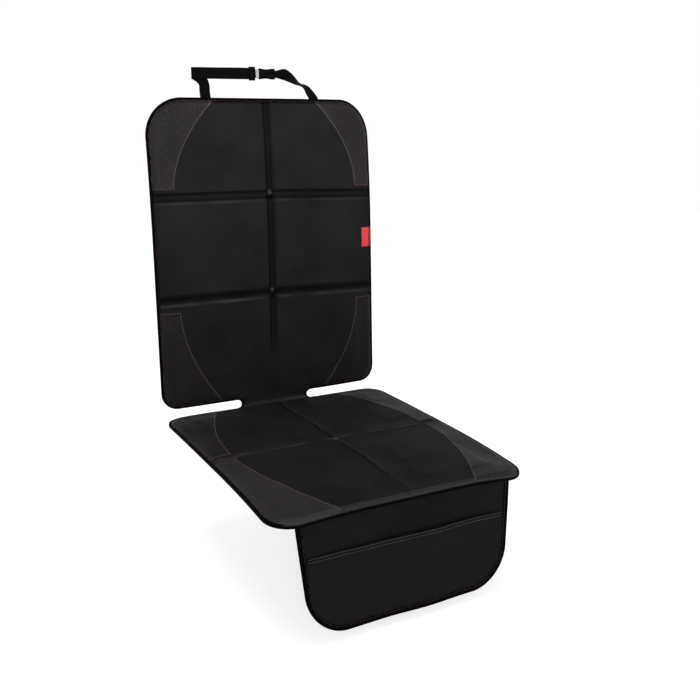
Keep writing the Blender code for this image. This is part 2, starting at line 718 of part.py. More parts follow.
def make_plug(finish):
    """The plug: a bar for the webbing, a shoulder, and a guide between two sprung arms."""
    x0, x1 = PLUG_X
    half, slot = PLUG_HEIGHT / 2, WEB_NARROW / 2 + GAP
    slot_end = x0 + BAR_WIDTH + WEB_LOOP + WEB_T / 2 + GAP
    body = box(
        "buckle_plug", (x0, RUN_Y - PLUG_T / 2, RUN_Z - half),
        (x1, RUN_Y + PLUG_T / 2, RUN_Z + half), finish,
    )
    cut = box(
        "plug_slot", (x0 - TAPE_T, RUN_Y - PLUG_T, RUN_Z - slot),
        (slot_end, RUN_Y + PLUG_T, RUN_Z + slot), group=CUTTERS,
    )
    boolean(body, cut, "DIFFERENCE")
    bar = box(
        "plug_bar", (x0, RUN_Y - BAR_T / 2, RUN_Z - slot - GAP),
        (x0 + BAR_WIDTH, RUN_Y + BAR_T / 2, RUN_Z + slot + GAP), group=CUTTERS,
    )
    boolean(body, bar, "UNION")
    tip = x1 + TONGUE_LENGTH
    inner, arm = half - SOCKET_WALL, ARM_WIDTH
    upper = [
        (x1 - GAP, inner), (x1 + BARB_START * TONGUE_LENGTH, inner),
        (x1 + BARB_PEAK * TONGUE_LENGTH, inner + arm), (tip - arm, inner), (tip - arm, inner - arm),
        (x1 + arm, inner - arm), (x1 + arm, arm), (tip, arm),
    ]
    outline = [*upper, *((x, -z) for x, z in reversed(upper))]
    tongue = prism(
        "plug_tongue", [(x, RUN_Z + z) for x, z in outline], 1,
        RUN_Y - TONGUE_T / 2, RUN_Y + TONGUE_T / 2, group=CUTTERS,
    )
    boolean(body, tongue, "UNION")


def make_socket(finish):
    """The socket: a hollow body open to the plug, a window each side, and a bar for webbing."""
    x0, x1 = SOCKET_X
    half, wall = SOCKET_HEIGHT / 2, SOCKET_WALL
    hollow_y = SOCKET_T / 2 - wall
    hollow_end = PLUG_X[1] + TONGUE_LENGTH + GAP
    slot = WEB_NARROW / 2 + GAP
    bar_x = x1 - BAR_WIDTH
    slot_start = bar_x - WEB_LOOP - WEB_T / 2 - GAP
    body = box(
        "buckle_socket", (x0, RUN_Y - SOCKET_T / 2, RUN_Z - half),
        (x1, RUN_Y + SOCKET_T / 2, RUN_Z + half), finish,
    )
    cuts = {
        "socket_hollow": ((x0 - wall, -hollow_y, wall - half), (hollow_end, hollow_y, half - wall)),
        "socket_windows": ((x0 + 3 * wall, -hollow_y, -2 * half), (hollow_end - wall, hollow_y, 2 * half)),
        "socket_slot": ((slot_start, -SOCKET_T, -slot), (x1 + wall, SOCKET_T, slot)),
    }
    for name, (low, high) in cuts.items():
        low, high = (np.array(p) + (0, RUN_Y, RUN_Z) for p in (low, high))
        boolean(body, box(name, low, high, group=CUTTERS), "DIFFERENCE")
    bar = box(
        "socket_bar", (bar_x, RUN_Y - BAR_T / 2, RUN_Z - slot - GAP),
        (x1, RUN_Y + BAR_T / 2, RUN_Z + slot + GAP), group=CUTTERS,
    )
    boolean(body, bar, "UNION")


FINISHES = {
    "backing": ("rubber_dotted_cloth", (0.020, 0.020, 0.021), 0.75),
    "foam": ("foam", (0.110, 0.110, 0.110), 0.95),
    "face": ("woven_polyester", (0.014, 0.014, 0.014), 0.65),
    "patch": ("coarse_oxford", (0.027, 0.027, 0.028), 0.75),
    "tape": ("binding_tape", (0.004, 0.004, 0.004), 0.60),
    "mesh": ("pocket_mesh", (0.010, 0.010, 0.010), 0.70),
    "tag": ("red_label", (0.600, 0.020, 0.025), 0.60),
    "web": ("black_webbing", (0.006, 0.006, 0.006), 0.60),
    "slider": ("black_plastic", (0.008, 0.008, 0.008), 0.40),
    "plug": ("grey_plastic", (0.450, 0.450, 0.450), 0.40),
}

back_panel = make_panels(FINISHES)
make_tag(back_panel, FINISHES["tag"])
make_flap(FINISHES)
make_straps(FINISHES["web"])
make_slider(FINISHES["slider"])
make_plug(FINISHES["plug"])
make_socket(FINISHES["slider"])
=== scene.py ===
"""Car seat protector mat: cloth, padding, tape, stitching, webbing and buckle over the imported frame.

Every soft piece is drawn as a flat pattern (across, along, height over its rear face), in
metres, as a whole numpy array, and then placed by the same formulas as the CAD model's.
"""

from __future__ import annotations

import logging
import math
from dataclasses import dataclass, field
from enum import Enum
from typing import Callable

import bpy
import numpy as np
from mathutils import Matrix

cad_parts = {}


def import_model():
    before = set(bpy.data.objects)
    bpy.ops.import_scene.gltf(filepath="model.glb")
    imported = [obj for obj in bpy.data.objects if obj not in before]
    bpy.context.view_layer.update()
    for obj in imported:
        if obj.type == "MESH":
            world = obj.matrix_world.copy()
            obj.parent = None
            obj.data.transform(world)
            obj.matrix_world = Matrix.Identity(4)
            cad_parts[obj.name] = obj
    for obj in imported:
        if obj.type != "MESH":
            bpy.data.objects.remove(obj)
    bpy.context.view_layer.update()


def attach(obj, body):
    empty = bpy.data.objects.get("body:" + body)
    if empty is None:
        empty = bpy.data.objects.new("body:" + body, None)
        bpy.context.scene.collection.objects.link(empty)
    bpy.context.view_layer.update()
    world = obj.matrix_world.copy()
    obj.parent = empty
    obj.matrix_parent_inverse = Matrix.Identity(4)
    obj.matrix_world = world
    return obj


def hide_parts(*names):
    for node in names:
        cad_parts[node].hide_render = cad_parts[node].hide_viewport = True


LOG = logging.getLogger("mat")
BODY = "root"
Array = np.ndarray
# A place, a panel's placing formula, stitch lines with outward directions, and a strap's station.
Place = tuple[float, float, float]
Placer = Callable[[Array, Array, Array], Array]
Rows = list[tuple[Array, Array]]
Station = tuple[float, float, float, Place, float]


# Sizes shared by the pieces, as in the CAD model


@dataclass(frozen=True)
class MatSizes:
    """The mat's cut and sewn sizes in metres, over the binding."""

    width: float = 0.470
    back_height: float = 0.605
    seat_depth: float = 0.532
    crease_y: float = 0.200
    notch_height: float = 0.021
    notch_reach: float = 0.040
    neck_half: float = 0.072
    back_low_fold: float = 0.234
    back_high_fold: float = 0.430
    seat_fold: float = 0.262
    channel_half: float = 0.008
    gap: float = 0.0003
    backing: float = 0.0012
    face: float = 0.0009
    patch: float = 0.0008
    pad: float = 0.0068
    pad_round: float = 0.016
    pad_margin: float = 0.013
    tape: float = 0.0010
    mitre: float = 0.020
    join: float = 0.0002
    flat_half: float = 0.080
    sweep_right: float = 0.026
    sweep_left: float = 0.003
    sweep_at_crease: float = 0.25
    lean: float = 0.0156
    lean_from: float = 0.332
    front_droop: float = 0.009
    front_droop_from: float = 0.318
    corner_droop_right: float = 0.012
    corner_droop_left: float = 0.009
    neck_dish: float = 0.0004
    seam_inset: float = 0.045
    seam_power: float = 1.9

    @property
    def inset(self) -> float:
        """How far the cloth's cut edge lies inside the binding's outside."""
        return self.tape + self.gap

    @property
    def half(self) -> float:
        """Half the cloth's width."""
        return self.width / 2 - self.inset

    @property
    def face_low(self) -> float:
        """Height of the face cloth's rear where it lies on the backing."""
        return self.backing + self.gap

    @property
    def tape_top(self) -> float:
        """Height of the binding's front face."""
        return self.face_low + self.face + self.gap + self.patch + self.gap + self.tape


SIZES = MatSizes()


def over(x: Array, start: float, end: float) -> Array:
    """Zero up to start, then a parabola that reaches one at end."""
    return np.clip((x - start) / (end - start), 0, None) ** 2


def smooth(x: Array) -> Array:
    """Smooth step: 3x² − 2x³ for x held between zero and one."""
    x = np.clip(x, 0, 1)
    return x * x * (3 - 2 * x)


def fold_share(along: Array) -> Array:
    """How much of its thickness a cloth gives up to the mitre at the crease."""
    return np.clip(1 - along / SIZES.mitre, 0, 1)


def back_point(across: Array, along: Array, height: Array) -> Array:
    """Places a backrest point: along runs up from the crease, height runs out of the front.

    The cloth bows rearwards as a parabola outside the flat middle and above the lean's start.

    Args:
        across: distance from the middle, to the right.
        along: distance from the crease.
        height: distance out of the panel's rear.

    Returns:
        The places, with x, y and z last.
    """
    s = SIZES
    side = s.sweep_right * over(across, s.flat_half, s.width / 2)
    side = side + s.sweep_left * over(-across, s.flat_half, s.width / 2)
    share = s.sweep_at_crease + (1 - s.sweep_at_crease) * along / s.back_height
    dish = np.clip(along / (s.notch_height + s.inset + s.pad_margin), 0, 1)
    bow = side * share + s.lean * over(along, s.lean_from, s.back_height)
    bow = bow - s.neck_dish * 4 * dish * (1 - dish)
    return np.stack([across, s.crease_y + bow - height, along + height * fold_share(along)], -1)


def seat_droop(across: Array, along: Array) -> Array:
    """How far the seat panel hangs below its flat middle, as parabolas to the sides and front.

    Args:
        across: distance from the middle, to the right.
        along: distance from the crease.

    Returns:
        The drop in metres.
    """
    s = SIZES
    side = s.corner_droop_right * over(across, s.flat_half, s.width / 2)
    side = side + s.corner_droop_left * over(-across, s.flat_half, s.width / 2)
    front = s.front_droop * over(along, s.front_droop_from, s.seat_depth)
    return side * np.clip(along / s.seat_depth, 0, None) ** 2 + front


def seat_point(across: Array, along: Array, height: Array) -> Array:
    """Places a seat point: along runs forwards from the crease, height runs up."""
    y = SIZES.crease_y - along - height * fold_share(along)
    return np.stack([across, y, height - seat_droop(across, along)], -1)


@dataclass(frozen=True)
class FlapSizes:
    """The front flap's sizes in metres."""

    half: float = 0.197
    drop: float = 0.191
    taper: float = 0.080
    flare: float = math.radians(5.0)
    radius: float = 0.071
    cloth: float = 0.0012
    behind: float = 0.0030
    tape_width: float = 0.0100
    pocket_top: float = 0.060
    slack: float = 0.0065
    mesh: float = 0.0006
    hem_width: float = 0.0085

    @property
    def hang_y(self) -> float:
        """Where the flap's rear face starts, under the front of the seat."""
        s = SIZES
        front = s.crease_y - s.seat_depth + s.inset
        return front + self.tape_width + self.behind + self.cloth


FLAP = FlapSizes()


def flap_point(across: Array, along: Array, height: Array) -> Array:
    """Places a flap point: along runs down from the seat's underside, height out of the front.

    The top edge follows the seat's droop and evens out to a straight line at the bottom.

    Args:
        across: distance from the middle, to the right.
        along: distance down from the seam.
        height: distance out of the flap's rear.

    Returns:
        The places, with x, y and z last.
    """
    f, s = FLAP, SIZES
    share = np.clip(along / f.drop, 0, 1)
    reach = s.crease_y - f.hang_y
    top = -seat_droop(across, reach + 0 * across) * (1 - share)
    top = top - seat_droop(0 * across, reach + 0 * across) * share
    x = across * (1 - f.taper * share)
    y = f.hang_y - height - along * math.sin(f.flare)
    return np.stack([x, y, top - s.gap - along * math.cos(f.flare)], -1)


# Meshes from arrays


def link(obj: bpy.types.Object) -> bpy.types.Object:
    """Puts an object into the scene."""
    bpy.context.scene.collection.objects.link(obj)
    return obj


def shaded(mesh: bpy.types.Mesh, uv: Array | None) -> None:
    """Makes a mesh smooth and gives it a UV map.

    Args:
        mesh: the mesh.
        uv: one (u, v) for each vertex in metres, or None for no map.
    """
    mesh.polygons.foreach_set("use_smooth", np.ones(len(mesh.polygons), bool))
    if uv is not None:
        loops = np.zeros(len(mesh.loops), np.int32)
        mesh.loops.foreach_get("vertex_index", loops)
        layer = mesh.uv_layers.new(name="Weave")
        layer.data.foreach_set("uv", uv[loops].astype(np.float32).ravel())
    mesh.update()


def grid_object(
    name: str, points: Array, uv: Array, keep: Array | None = None, flip: bool = False,
    tone: Array | None = None,
) -> bpy.types.Object:
    """Makes a sheet from a grid of points.

    Args:
        name: the piece's name.
        points: (rows, columns, 3) places in the row frame.
        uv: (rows, columns, 2) flat pattern coordinates in metres.
        keep: (rows − 1, columns − 1) cells to keep, or None for all.
        flip: turns the faces the other way.
        tone: (rows, columns) share of painted shade, below zero of painted highlight, or None.

    Returns:
        The new object, at the origin.
    """
    rows, cols = points.shape[:2]
    index = np.arange(rows * cols).reshape(rows, cols)
    quads = np.stack([index[:-1, :-1], index[:-1, 1:], index[1:, 1:], index[1:, :-1]], -1)
    quads = quads.reshape(-1, 4) if keep is None else quads[keep]
    if flip:
        quads = quads[:, ::-1]
    used, quads = np.unique(quads, return_inverse=True)
    mesh = bpy.data.meshes.new(name)
    mesh.from_pydata(points.reshape(-1, 3)[used], [], quads.reshape(-1, 4).tolist())
    shaded(mesh, uv.reshape(-1, 2)[used])
    if tone is not None:
        # The painted shade and highlight are stored on the points for the cloth's material.
        layer = mesh.attributes.new("painted_light", "FLOAT", "POINT")
        layer.data.foreach_set("value", tone.reshape(-1)[used].astype(np.float32))
    return link(bpy.data.objects.new(name, mesh))


def swept_object(
    name: str, rings: Array, uv: Array, closed: bool = True, caps: bool = True
) -> bpy.types.Object:
    """Makes a tube, or a strip where its rings aren't closed: rings of points joined in order.

    Args:
        name: the piece's name.
        rings: (rings, points, 3) places in the row frame.
        uv: (rings, points, 2) round and along coordinates in metres.
        closed: joins each ring's last point to its first.
        caps: closes the first and last ring.

    Returns:
        The new object, at the origin.
    """
    count, round_ = rings.shape[:2]
    index = np.arange(count * round_).reshape(count, round_)
    nxt = np.roll(index, -1, axis=1)
    quads = np.stack([index[:-1], nxt[:-1], nxt[1:], index[1:]], -1)
    if not closed:
        quads = quads[:, :-1]
    faces = quads.reshape(-1, 4).tolist()
    if caps and closed:
        faces += [index[0, ::-1].tolist(), index[-1].tolist()]
    mesh = bpy.data.meshes.new(name)
    mesh.from_pydata(rings.reshape(-1, 3), [], faces)
    shaded(mesh, uv.reshape(-1, 2))
    return link(bpy.data.objects.new(name, mesh))


def thicken(obj: bpy.types.Object, wall: float) -> None:
    """Gives a sheet its thickness, inwards from its front face.

    Args:
        obj: the sheet.
        wall: its thickness.
    """
    solid = obj.modifiers.new("Thickness", "SOLIDIFY")
    solid.thickness = wall
    solid.offset = -1.0


def face_rows(mesh: bpy.types.Mesh, what: str) -> Array:
    """Each face's centre or normal, as rows.

    Args:
        mesh: the mesh.
        what: "center" or "normal".

    Returns:
        One row of three for each face.
    """
    rows = np.zeros(len(mesh.polygons) * 3)
    mesh.polygons.foreach_get(what, rows)
    return rows.reshape(-1, 3)


def lengths(line: Array) -> Array:
    """Distance along a line of points, from its first."""
    return np.concatenate([[0], np.cumsum(np.linalg.norm(np.diff(line, axis=0), axis=1))])


def resampled(line: Array, step: float, measured: int = 3) -> Array:
    """The same line with points a fixed step apart.

    Args:
        line: rows of a place, and any values that go with it.
        step: the spacing.
        measured: how many of the columns count for the distance between rows.

    Returns:
        The new rows.
    """
    along = lengths(line[:, :measured])
    at = np.linspace(0, along[-1], max(2, round(along[-1] / step) + 1))
    return np.stack([np.interp(at, along, line[:, k]) for k in range(line.shape[1])], -1)


def noise_line(count: int, spread: float, seed: int) -> Array:
    """Smooth seeded noise along a line: random numbers blurred with a bell, one in size.

    Args:
        count: how many values.
        spread: the bell's width in points.
        seed: the random seed.

    Returns:
        The values.
    """
    raw = np.random.default_rng(seed).normal(size=count + 8 * int(spread) + 8)
    x = np.arange(-3 * int(spread) - 1, 3 * int(spread) + 2)
    weight = np.exp(-0.5 * (x / spread) ** 2)
    out = np.convolve(raw, weight / np.sqrt((weight**2).sum()), mode="same")
    return out[3 * int(spread) + 2 :][:count]


def noise_field(u: Array, v: Array, scale: float, seed: int, terms: int = 14) -> Array:
    """Smooth seeded noise over a surface: a sum of sine waves in random directions, one in size.

    Args:
        u: across.
        v: along.
        scale: the middle wavelength in metres.
        seed: the random seed.
        terms: how many waves.

    Returns:
        The value at each point.
    """
    rng = np.random.default_rng(seed)
    angle, phase = rng.uniform(0, 2 * np.pi, (2, terms))
    wave = 2 * np.pi / (scale * rng.uniform(0.7, 1.6, terms))
    total = np.zeros_like(u)
    for a, p, k in zip(angle, phase, wave):
        total += np.sin(k * (u * math.cos(a) + v * math.sin(a)) + p)
    return total * math.sqrt(2 / terms)


# Finishes


def linear(code: str) -> tuple[float, float, float, float]:
    """Turns an sRGB colour to linear light.

    Args:
        code: the colour as #rrggbb.

    Returns:
        Red, green, blue and full alpha.
    """
    parts = [int(code[i : i + 2], 16) / 255 for i in (1, 3, 5)]
    made = [c / 12.92 if c <= 0.04045 else ((c + 0.055) / 1.055) ** 2.4 for c in parts]
    return (made[0], made[1], made[2], 1.0)


def add_node(
    tree: bpy.types.NodeTree, kind: str, settings: dict[str, object] | None = None,
    inputs: dict[str | int, object] | None = None,
) -> bpy.types.Node:
    """Adds a node.

    Args:
        tree: the node tree.
        kind: the node's type name.
        settings: attributes to set.
        inputs: an output socket to link, or a value to set, for each input's name or number.

    Returns:
        The new node.
    """
    made = tree.nodes.new(kind)
    for key, value in (settings or {}).items():
        setattr(made, key, value)
    for key, value in (inputs or {}).items():
        if isinstance(value, bpy.types.NodeSocket):
            tree.links.new(value, made.inputs[key])
        else:
            made.inputs[key].default_value = value
    return made


@dataclass(frozen=True)
class Finish:
    """A material's name, its two colours and its plain shader values."""

    name: str
    dark: str
    light: str
    roughness: float
    specular: float

    def build(self) -> bpy.types.Material:
        """Makes the material. Each kind of finish draws its own pattern."""
        raise NotImplementedError

    def start(self) -> tuple[bpy.types.Material, bpy.types.NodeTree, bpy.types.Node]:
        """Makes the material with its plain values on the shader's own sockets.

        Returns:
            The material, its node tree and its shader.
        """
        made = bpy.data.materials.new(self.name)
        made.use_nodes = True
        tree = made.node_tree
        shader = tree.nodes["Principled BSDF"]
        shader.inputs["Roughness"].default_value = self.roughness
        shader.inputs["Specular IOR Level"].default_value = self.specular
        return made, tree, shader

    def finish_off(
        self, tree: bpy.types.NodeTree, shader: bpy.types.Node, blend: bpy.types.NodeSocket,
        height: bpy.types.NodeSocket, depth: float,
    ) -> None:
        """Joins a pattern to the shader.

        Args:
            tree: the node tree.
            shader: its shader.
            blend: mixes the two colours, from dark to light.
            height: the pattern's height, from zero to one.
            depth: what one stands for, in metres.
        """
        mix = add_node(
            tree, "ShaderNodeMix", {"data_type": "RGBA"},
            {0: blend, 6: linear(self.dark), 7: linear(self.light)},
        )
        bump = add_node(
            tree, "ShaderNodeBump", None, {"Height": height, "Distance": depth, "Strength": 1.0}
        )
        tree.links.new(mix.outputs[2], shader.inputs["Base Color"])
        tree.links.new(bump.outputs["Normal"], shader.inputs["Normal"])


class Weave(Enum):
    """How a cloth is woven: how many threads pass over at once, across and along."""

    PLAIN = (1.0, 1.0)
    OXFORD = (2.0, 1.0)
    RIBBED = (0.5, 3.0)


@dataclass(frozen=True)
class WovenFinish(Finish):
    """Woven cloth: crossing threads that rise and dip, and a slow change of shade.

    Where painted shading is on, the piece's point attribute paints shade along its seams and
    grooves, and below zero paints a highlight where the cloth stands proud and faces the light.
    """

    pitch: float = 0.0012
    weave: Weave = Weave.PLAIN
    relief: float = 0.00012
    painted_shading: bool = False
    melange: float = 0.5
    cloud_scale: float = 9.0
    thread_shade: float = 0.22
    # Painted shade for the seams and grooves, and painted highlight where the cloth stands proud.
    painted_shade: str = "#030303"
    painted_highlight: str = "#434142"

    def build(self) -> bpy.types.Material:
        """The height is |sin(u) sin(v)| at the thread spacing, and the shade follows its sign.

        Returns:
            The material.
        """
        made, tree, shader = self.start()
        place = add_node(tree, "ShaderNodeUVMap", {"uv_map": "Weave"})
        over_u, over_v = self.weave.value
        turned = add_node(
            tree, "ShaderNodeVectorMath", {"operation": "MULTIPLY"},
            {0: place.outputs[0], 1: (math.pi / self.pitch / over_u, math.pi / self.pitch / over_v, 1)},
        )
        parts = add_node(tree, "ShaderNodeSeparateXYZ", None, {0: turned.outputs[0]})
        warp = add_node(tree, "ShaderNodeMath", {"operation": "SINE"}, {0: parts.outputs[0]})
        weft = add_node(tree, "ShaderNodeMath", {"operation": "SINE"}, {0: parts.outputs[1]})
        cross = add_node(
            tree, "ShaderNodeMath", {"operation": "MULTIPLY"}, {0: warp.outputs[0], 1: weft.outputs[0]}
        )
        rise = add_node(tree, "ShaderNodeMath", {"operation": "ABSOLUTE"}, {0: cross.outputs[0]})
        cloud = add_node(
            tree, "ShaderNodeTexNoise", None,
            {"Vector": place.outputs[0], "Scale": self.cloud_scale, "Detail": 3.0},
        )
        yarn = add_node(
            tree, "ShaderNodeTexNoise", None,
            {"Vector": place.outputs[0], "Scale": 0.5 / self.pitch, "Detail": 1.0},
        )
        uneven = add_node(
            tree, "ShaderNodeMath", {"operation": "MULTIPLY_ADD"},
            {0: yarn.outputs[0], 1: self.melange, 2: -0.5 * self.melange},
        )
        tone = add_node(
            tree, "ShaderNodeMath", {"operation": "ADD"}, {0: cloud.outputs[0], 1: uneven.outputs[0]}
        )
        shade = add_node(
            tree, "ShaderNodeMath", {"operation": "MULTIPLY_ADD"},
            {0: cross.outputs[0], 1: self.thread_shade, 2: tone.outputs[0]},
        )
        self.finish_off(tree, shader, shade.outputs[0], rise.outputs[0], self.relief)
        if self.painted_shading:
            self.painted_light(tree, shader)
        return made

    def painted_light(self, tree: bpy.types.NodeTree, shader: bpy.types.Node) -> None:
        """Mixes the painted shade along the seams and the painted highlight over the weave's colour.

        Args:
            tree: the node tree.
            shader: its shader, which the weave is joined to.
        """
        weave = shader.inputs["Base Color"].links[0].from_socket
        # The attribute holds painted light: painted shade above zero, painted highlight below.
        light_paint = add_node(tree, "ShaderNodeAttribute", {"attribute_name": "painted_light"})
        seam = add_node(
            tree, "ShaderNodeMix", {"data_type": "RGBA"},
            {0: light_paint.outputs["Fac"], 6: weave, 7: linear(self.painted_shade)},
        )
        highlight_share = add_node(
            tree, "ShaderNodeMath", {"operation": "MULTIPLY", "use_clamp": True},
            {0: light_paint.outputs["Fac"], 1: -1.0},
        )
        highlighted = add_node(
            tree, "ShaderNodeMix", {"data_type": "RGBA"},
            {0: highlight_share.outputs[0], 6: seam.outputs[2], 7: linear(self.painted_highlight)},
        )
        tree.links.new(highlighted.outputs[2], shader.inputs["Base Color"])


@dataclass(frozen=True)
class MeshFinish(Finish):
    """Warp-knitted mesh: rows of small oval holes, each row moved by half a hole."""

    pitch: float = 0.0022
    relief: float = 0.0003

    def build(self) -> bpy.types.Material:
        """The height is sin(u) sin(v) on a grid turned by 45 degrees, so holes lie staggered.

        Returns:
            The material.
        """
        made, tree, shader = self.start()
        place = add_node(tree, "ShaderNodeUVMap", {"uv_map": "Weave"})
        turned = add_node(
            tree, "ShaderNodeMapping", None,
            {"Vector": place.outputs[0], "Rotation": (0, 0, math.radians(45)),
             "Scale": (2 * math.pi / self.pitch, 2 * math.pi / self.pitch, 1)},
        )
        parts = add_node(tree, "ShaderNodeSeparateXYZ", None, {0: turned.outputs[0]})
        one = add_node(tree, "ShaderNodeMath", {"operation": "SINE"}, {0: parts.outputs[0]})
        two = add_node(tree, "ShaderNodeMath", {"operation": "SINE"}, {0: parts.outputs[1]})
        cross = add_node(
            tree, "ShaderNodeMath", {"operation": "MULTIPLY"}, {0: one.outputs[0], 1: two.outputs[0]}
        )
        level = add_node(
            tree, "ShaderNodeMapRange", {"interpolation_type": "SMOOTHSTEP"},
            {"Value": cross.outputs[0], "From Min": 0.45, "From Max": -0.1, "To Min": 0.0, "To Max": 1.0},
        )
        self.finish_off(tree, shader, level.outputs[0], level.outputs[0], self.relief)
        return made


@dataclass(frozen=True)
class GrainedFinish(Finish):
    """A plain solid with a fine grain on it and a slower change of shade.

    Scales are noise waves a metre, so 2500 is a grain of 0.4 mm.
    """

    grain_scale: float = 2500.0
    cloud_scale: float = 60.0
    detail: float = 2.0
    relief: float = 0.00004

    def build(self) -> bpy.types.Material:
        """One noise gives the grain's height, and a slower one the shade.

        Returns:
            The material.
        """
        made, tree, shader = self.start()
        place = add_node(tree, "ShaderNodeTexCoord")
        grain, cloud = (
            add_node(
                tree, "ShaderNodeTexNoise", None,
                {"Vector": place.outputs["Object"], "Scale": scale, "Detail": self.detail},
            )
            for scale in (self.grain_scale, self.cloud_scale)
        )
        self.finish_off(tree, shader, cloud.outputs[0], grain.outputs[0], self.relief)
        return made


@dataclass(frozen=True)
class ThreadFinish(GrainedFinish):
    """Twisted polyester sewing thread, whose shade changes from stitch to stitch."""

    grain_scale: float = 3000.0
    cloud_scale: float = 260.0
    detail: float = 1.0
    relief: float = 0.00005


@dataclass(frozen=True)
class GripFinish(Finish):
    """Backing cloth printed with small rubber dots that keep the mat from sliding."""

    pitch: float = 0.008
    dot: float = 0.0014
    relief: float = 0.0004

    def build(self) -> bpy.types.Material:
        """Distance to the nearest centre of a staggered grid, cut off at the dot's radius.

        Returns:
            The material.
        """
        made, tree, shader = self.start()
        place = add_node(tree, "ShaderNodeUVMap", {"uv_map": "Weave"})
        turned = add_node(
            tree, "ShaderNodeMapping", None,
            {"Vector": place.outputs[0], "Rotation": (0, 0, math.radians(45)),
             "Scale": (1 / self.pitch, 1 / self.pitch, 1)},
        )
        cells = add_node(
            tree, "ShaderNodeTexVoronoi", {"voronoi_dimensions": "2D"},
            {"Vector": turned.outputs[0], "Scale": 1.0, "Randomness": 0.0},
        )
        dots = add_node(
            tree, "ShaderNodeMapRange", {"interpolation_type": "SMOOTHSTEP"},
            {"Value": cells.outputs["Distance"], "From Min": self.dot / self.pitch * 1.25,
             "From Max": self.dot / self.pitch * 0.8, "To Min": 0.0, "To Max": 1.0},
        )
        self.finish_off(tree, shader, dots.outputs[0], dots.outputs[0], self.relief)
        return made


@dataclass(frozen=True)
class FoamFinish(Finish):
    """Closed-cell foam sheet, with its skin of small bubbles."""

    cell_scale: float = 650.0
    relief: float = 0.0002

    def build(self) -> bpy.types.Material:
        """The height and the shade are the distance to the nearest of random cell centres.

        Returns:
            The material.
        """
        made, tree, shader = self.start()
        place = add_node(tree, "ShaderNodeTexCoord")
        cells = add_node(
            tree, "ShaderNodeTexVoronoi", None,
            {"Vector": place.outputs["Object"], "Scale": self.cell_scale},
        )
        self.finish_off(tree, shader, cells.outputs["Distance"], cells.outputs["Distance"], self.relief)
        return made


# Fine polyester, plain-woven: smooth and nearly matt, and black with a breath of grey. Real threads
# are 0.25 mm apart, and these are drawn at 1.1 mm, so that the weave shows at all.
# Its seams and channels carry painted shade, and its proud parts painted highlight.
FACE_CLOTH = WovenFinish(
    "woven_polyester_face", "#141414", "#2a2a2a", 0.62, 0.008,
    pitch=0.0011, weave=Weave.PLAIN, relief=0.00008, painted_shading=True,
)
# Oxford cloth, woven with doubled threads: paler and mottled, because its thick threads catch more
# light. Real threads are 0.5 mm apart, and these are drawn at 2 mm.
# Its patches carry painted shade and painted highlight as the face does.
PATCH_CLOTH = WovenFinish(
    "oxford_weave_patch", "#191818", "#363334", 0.50, 0.04,
    pitch=0.0020, weave=Weave.OXFORD, relief=0.00024, painted_shading=True, melange=1.1,
)
# Grosgrain tape, woven with ribs across it and folded: the deepest black, which draws the outline.
# Its ribs are drawn at 1.2 mm for 0.6 mm.
EDGE_TAPE = WovenFinish(
    "grosgrain_tape", "#020202", "#090909", 0.62, 0.015,
    pitch=0.0012, weave=Weave.RIBBED, relief=0.00016,
)
# The tape on top of the seat's front edge is cut from oxford cloth, as pale as the corners.
FRONT_TAPE = WovenFinish(
    "oxford_tape", "#1c1b1b", "#3e3b3c", 0.62, 0.03,
    pitch=0.0014, weave=Weave.OXFORD, relief=0.00018,
)
# Plain-woven polyester again, a little heavier and without pressed seams: an even dark grey.
FLAP_CLOTH = WovenFinish(
    "woven_polyester_flap", "#111111", "#232323", 0.62, 0.04,
    pitch=0.0012, weave=Weave.PLAIN, relief=0.00010,
)
# Polypropylene webbing, woven flat with ribs across: black with a dull, waxy gleam.
WEBBING = WovenFinish(
    "polypropylene_webbing", "#030303", "#0d0d0d", 0.55, 0.02,
    pitch=0.0016, weave=Weave.RIBBED, relief=0.00022,
)
# Satin ribbon, folded: bright red, with painted shade where it turns over the edge and at its ends.
LABEL = WovenFinish(
    "red_satin_label", "#e02a34", "#f7545a", 0.50, 0.15,
    pitch=0.0009, weave=Weave.RIBBED, relief=0.00006, painted_shading=True,
)
# Warp-knitted mesh: grey threads round dark holes. The real holes are 1.2 mm apart, drawn at 3.6 mm.
MESH = MeshFinish("warp_knit_mesh", "#020202", "#2b2929", 0.62, 0.03, pitch=0.0036)
# Non-slip cloth with printed rubber dots, 8 mm apart: dull dark grey with paler spots.
GRIP_BACKING = GripFinish("grip_dot_backing", "#161616", "#262627", 0.72, 0.10)
# Acetal, injection-moulded with the fine spark grain of its mould: even, and softly shining.
BLACK_PLASTIC = GrainedFinish("moulded_black_acetal", "#020202", "#060606", 0.45, 0.025)
GREY_PLASTIC = GrainedFinish("moulded_grey_acetal", "#8f8f91", "#b4b4b6", 0.40, 0.30)
# Polyester thread, twisted and dyed: the seams show as fine lines in its colour.
TAPE_THREAD = ThreadFinish("dark_maroon_thread", "#4c2229", "#7c4e55", 0.55, 0.10)
SEAM_THREAD = ThreadFinish("maroon_thread", "#5c363b", "#94706f", 0.55, 0.12)
DARK_THREAD = ThreadFinish("black_thread", "#1c1a1a", "#343131", 0.55, 0.15)
HEM_THREAD = ThreadFinish("grey_thread", "#5a5454", "#857c7c", 0.55, 0.20)
# Polyethylene foam, cut from sheet: dull mid grey, and hidden inside the cloth.
FOAM = FoamFinish("closed_cell_foam", "#3a3a3a", "#5e5e5e", 0.85, 0.20)


def dress(obj: bpy.types.Object, finish: Finish, slot: str, *nodes: str) -> bpy.types.Object:
    """Gives a piece its finish and hides the CAD nodes it stands for.

    Args:
        obj: the finished piece.
        finish: its finish.
        slot: the record's material slot; not used.
        nodes: the CAD nodes it replaces.

    Returns:
        The same object, riding on the mat's body.
    """
    made = bpy.data.materials.get(finish.name) or finish.build()
    obj.data.materials.clear()
    obj.data.materials.append(made)
    if nodes:
        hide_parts(*nodes)
    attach(obj, BODY)
    LOG.info("%s: %d faces", obj.name, len(obj.data.polygons))
    return obj


# Stitching


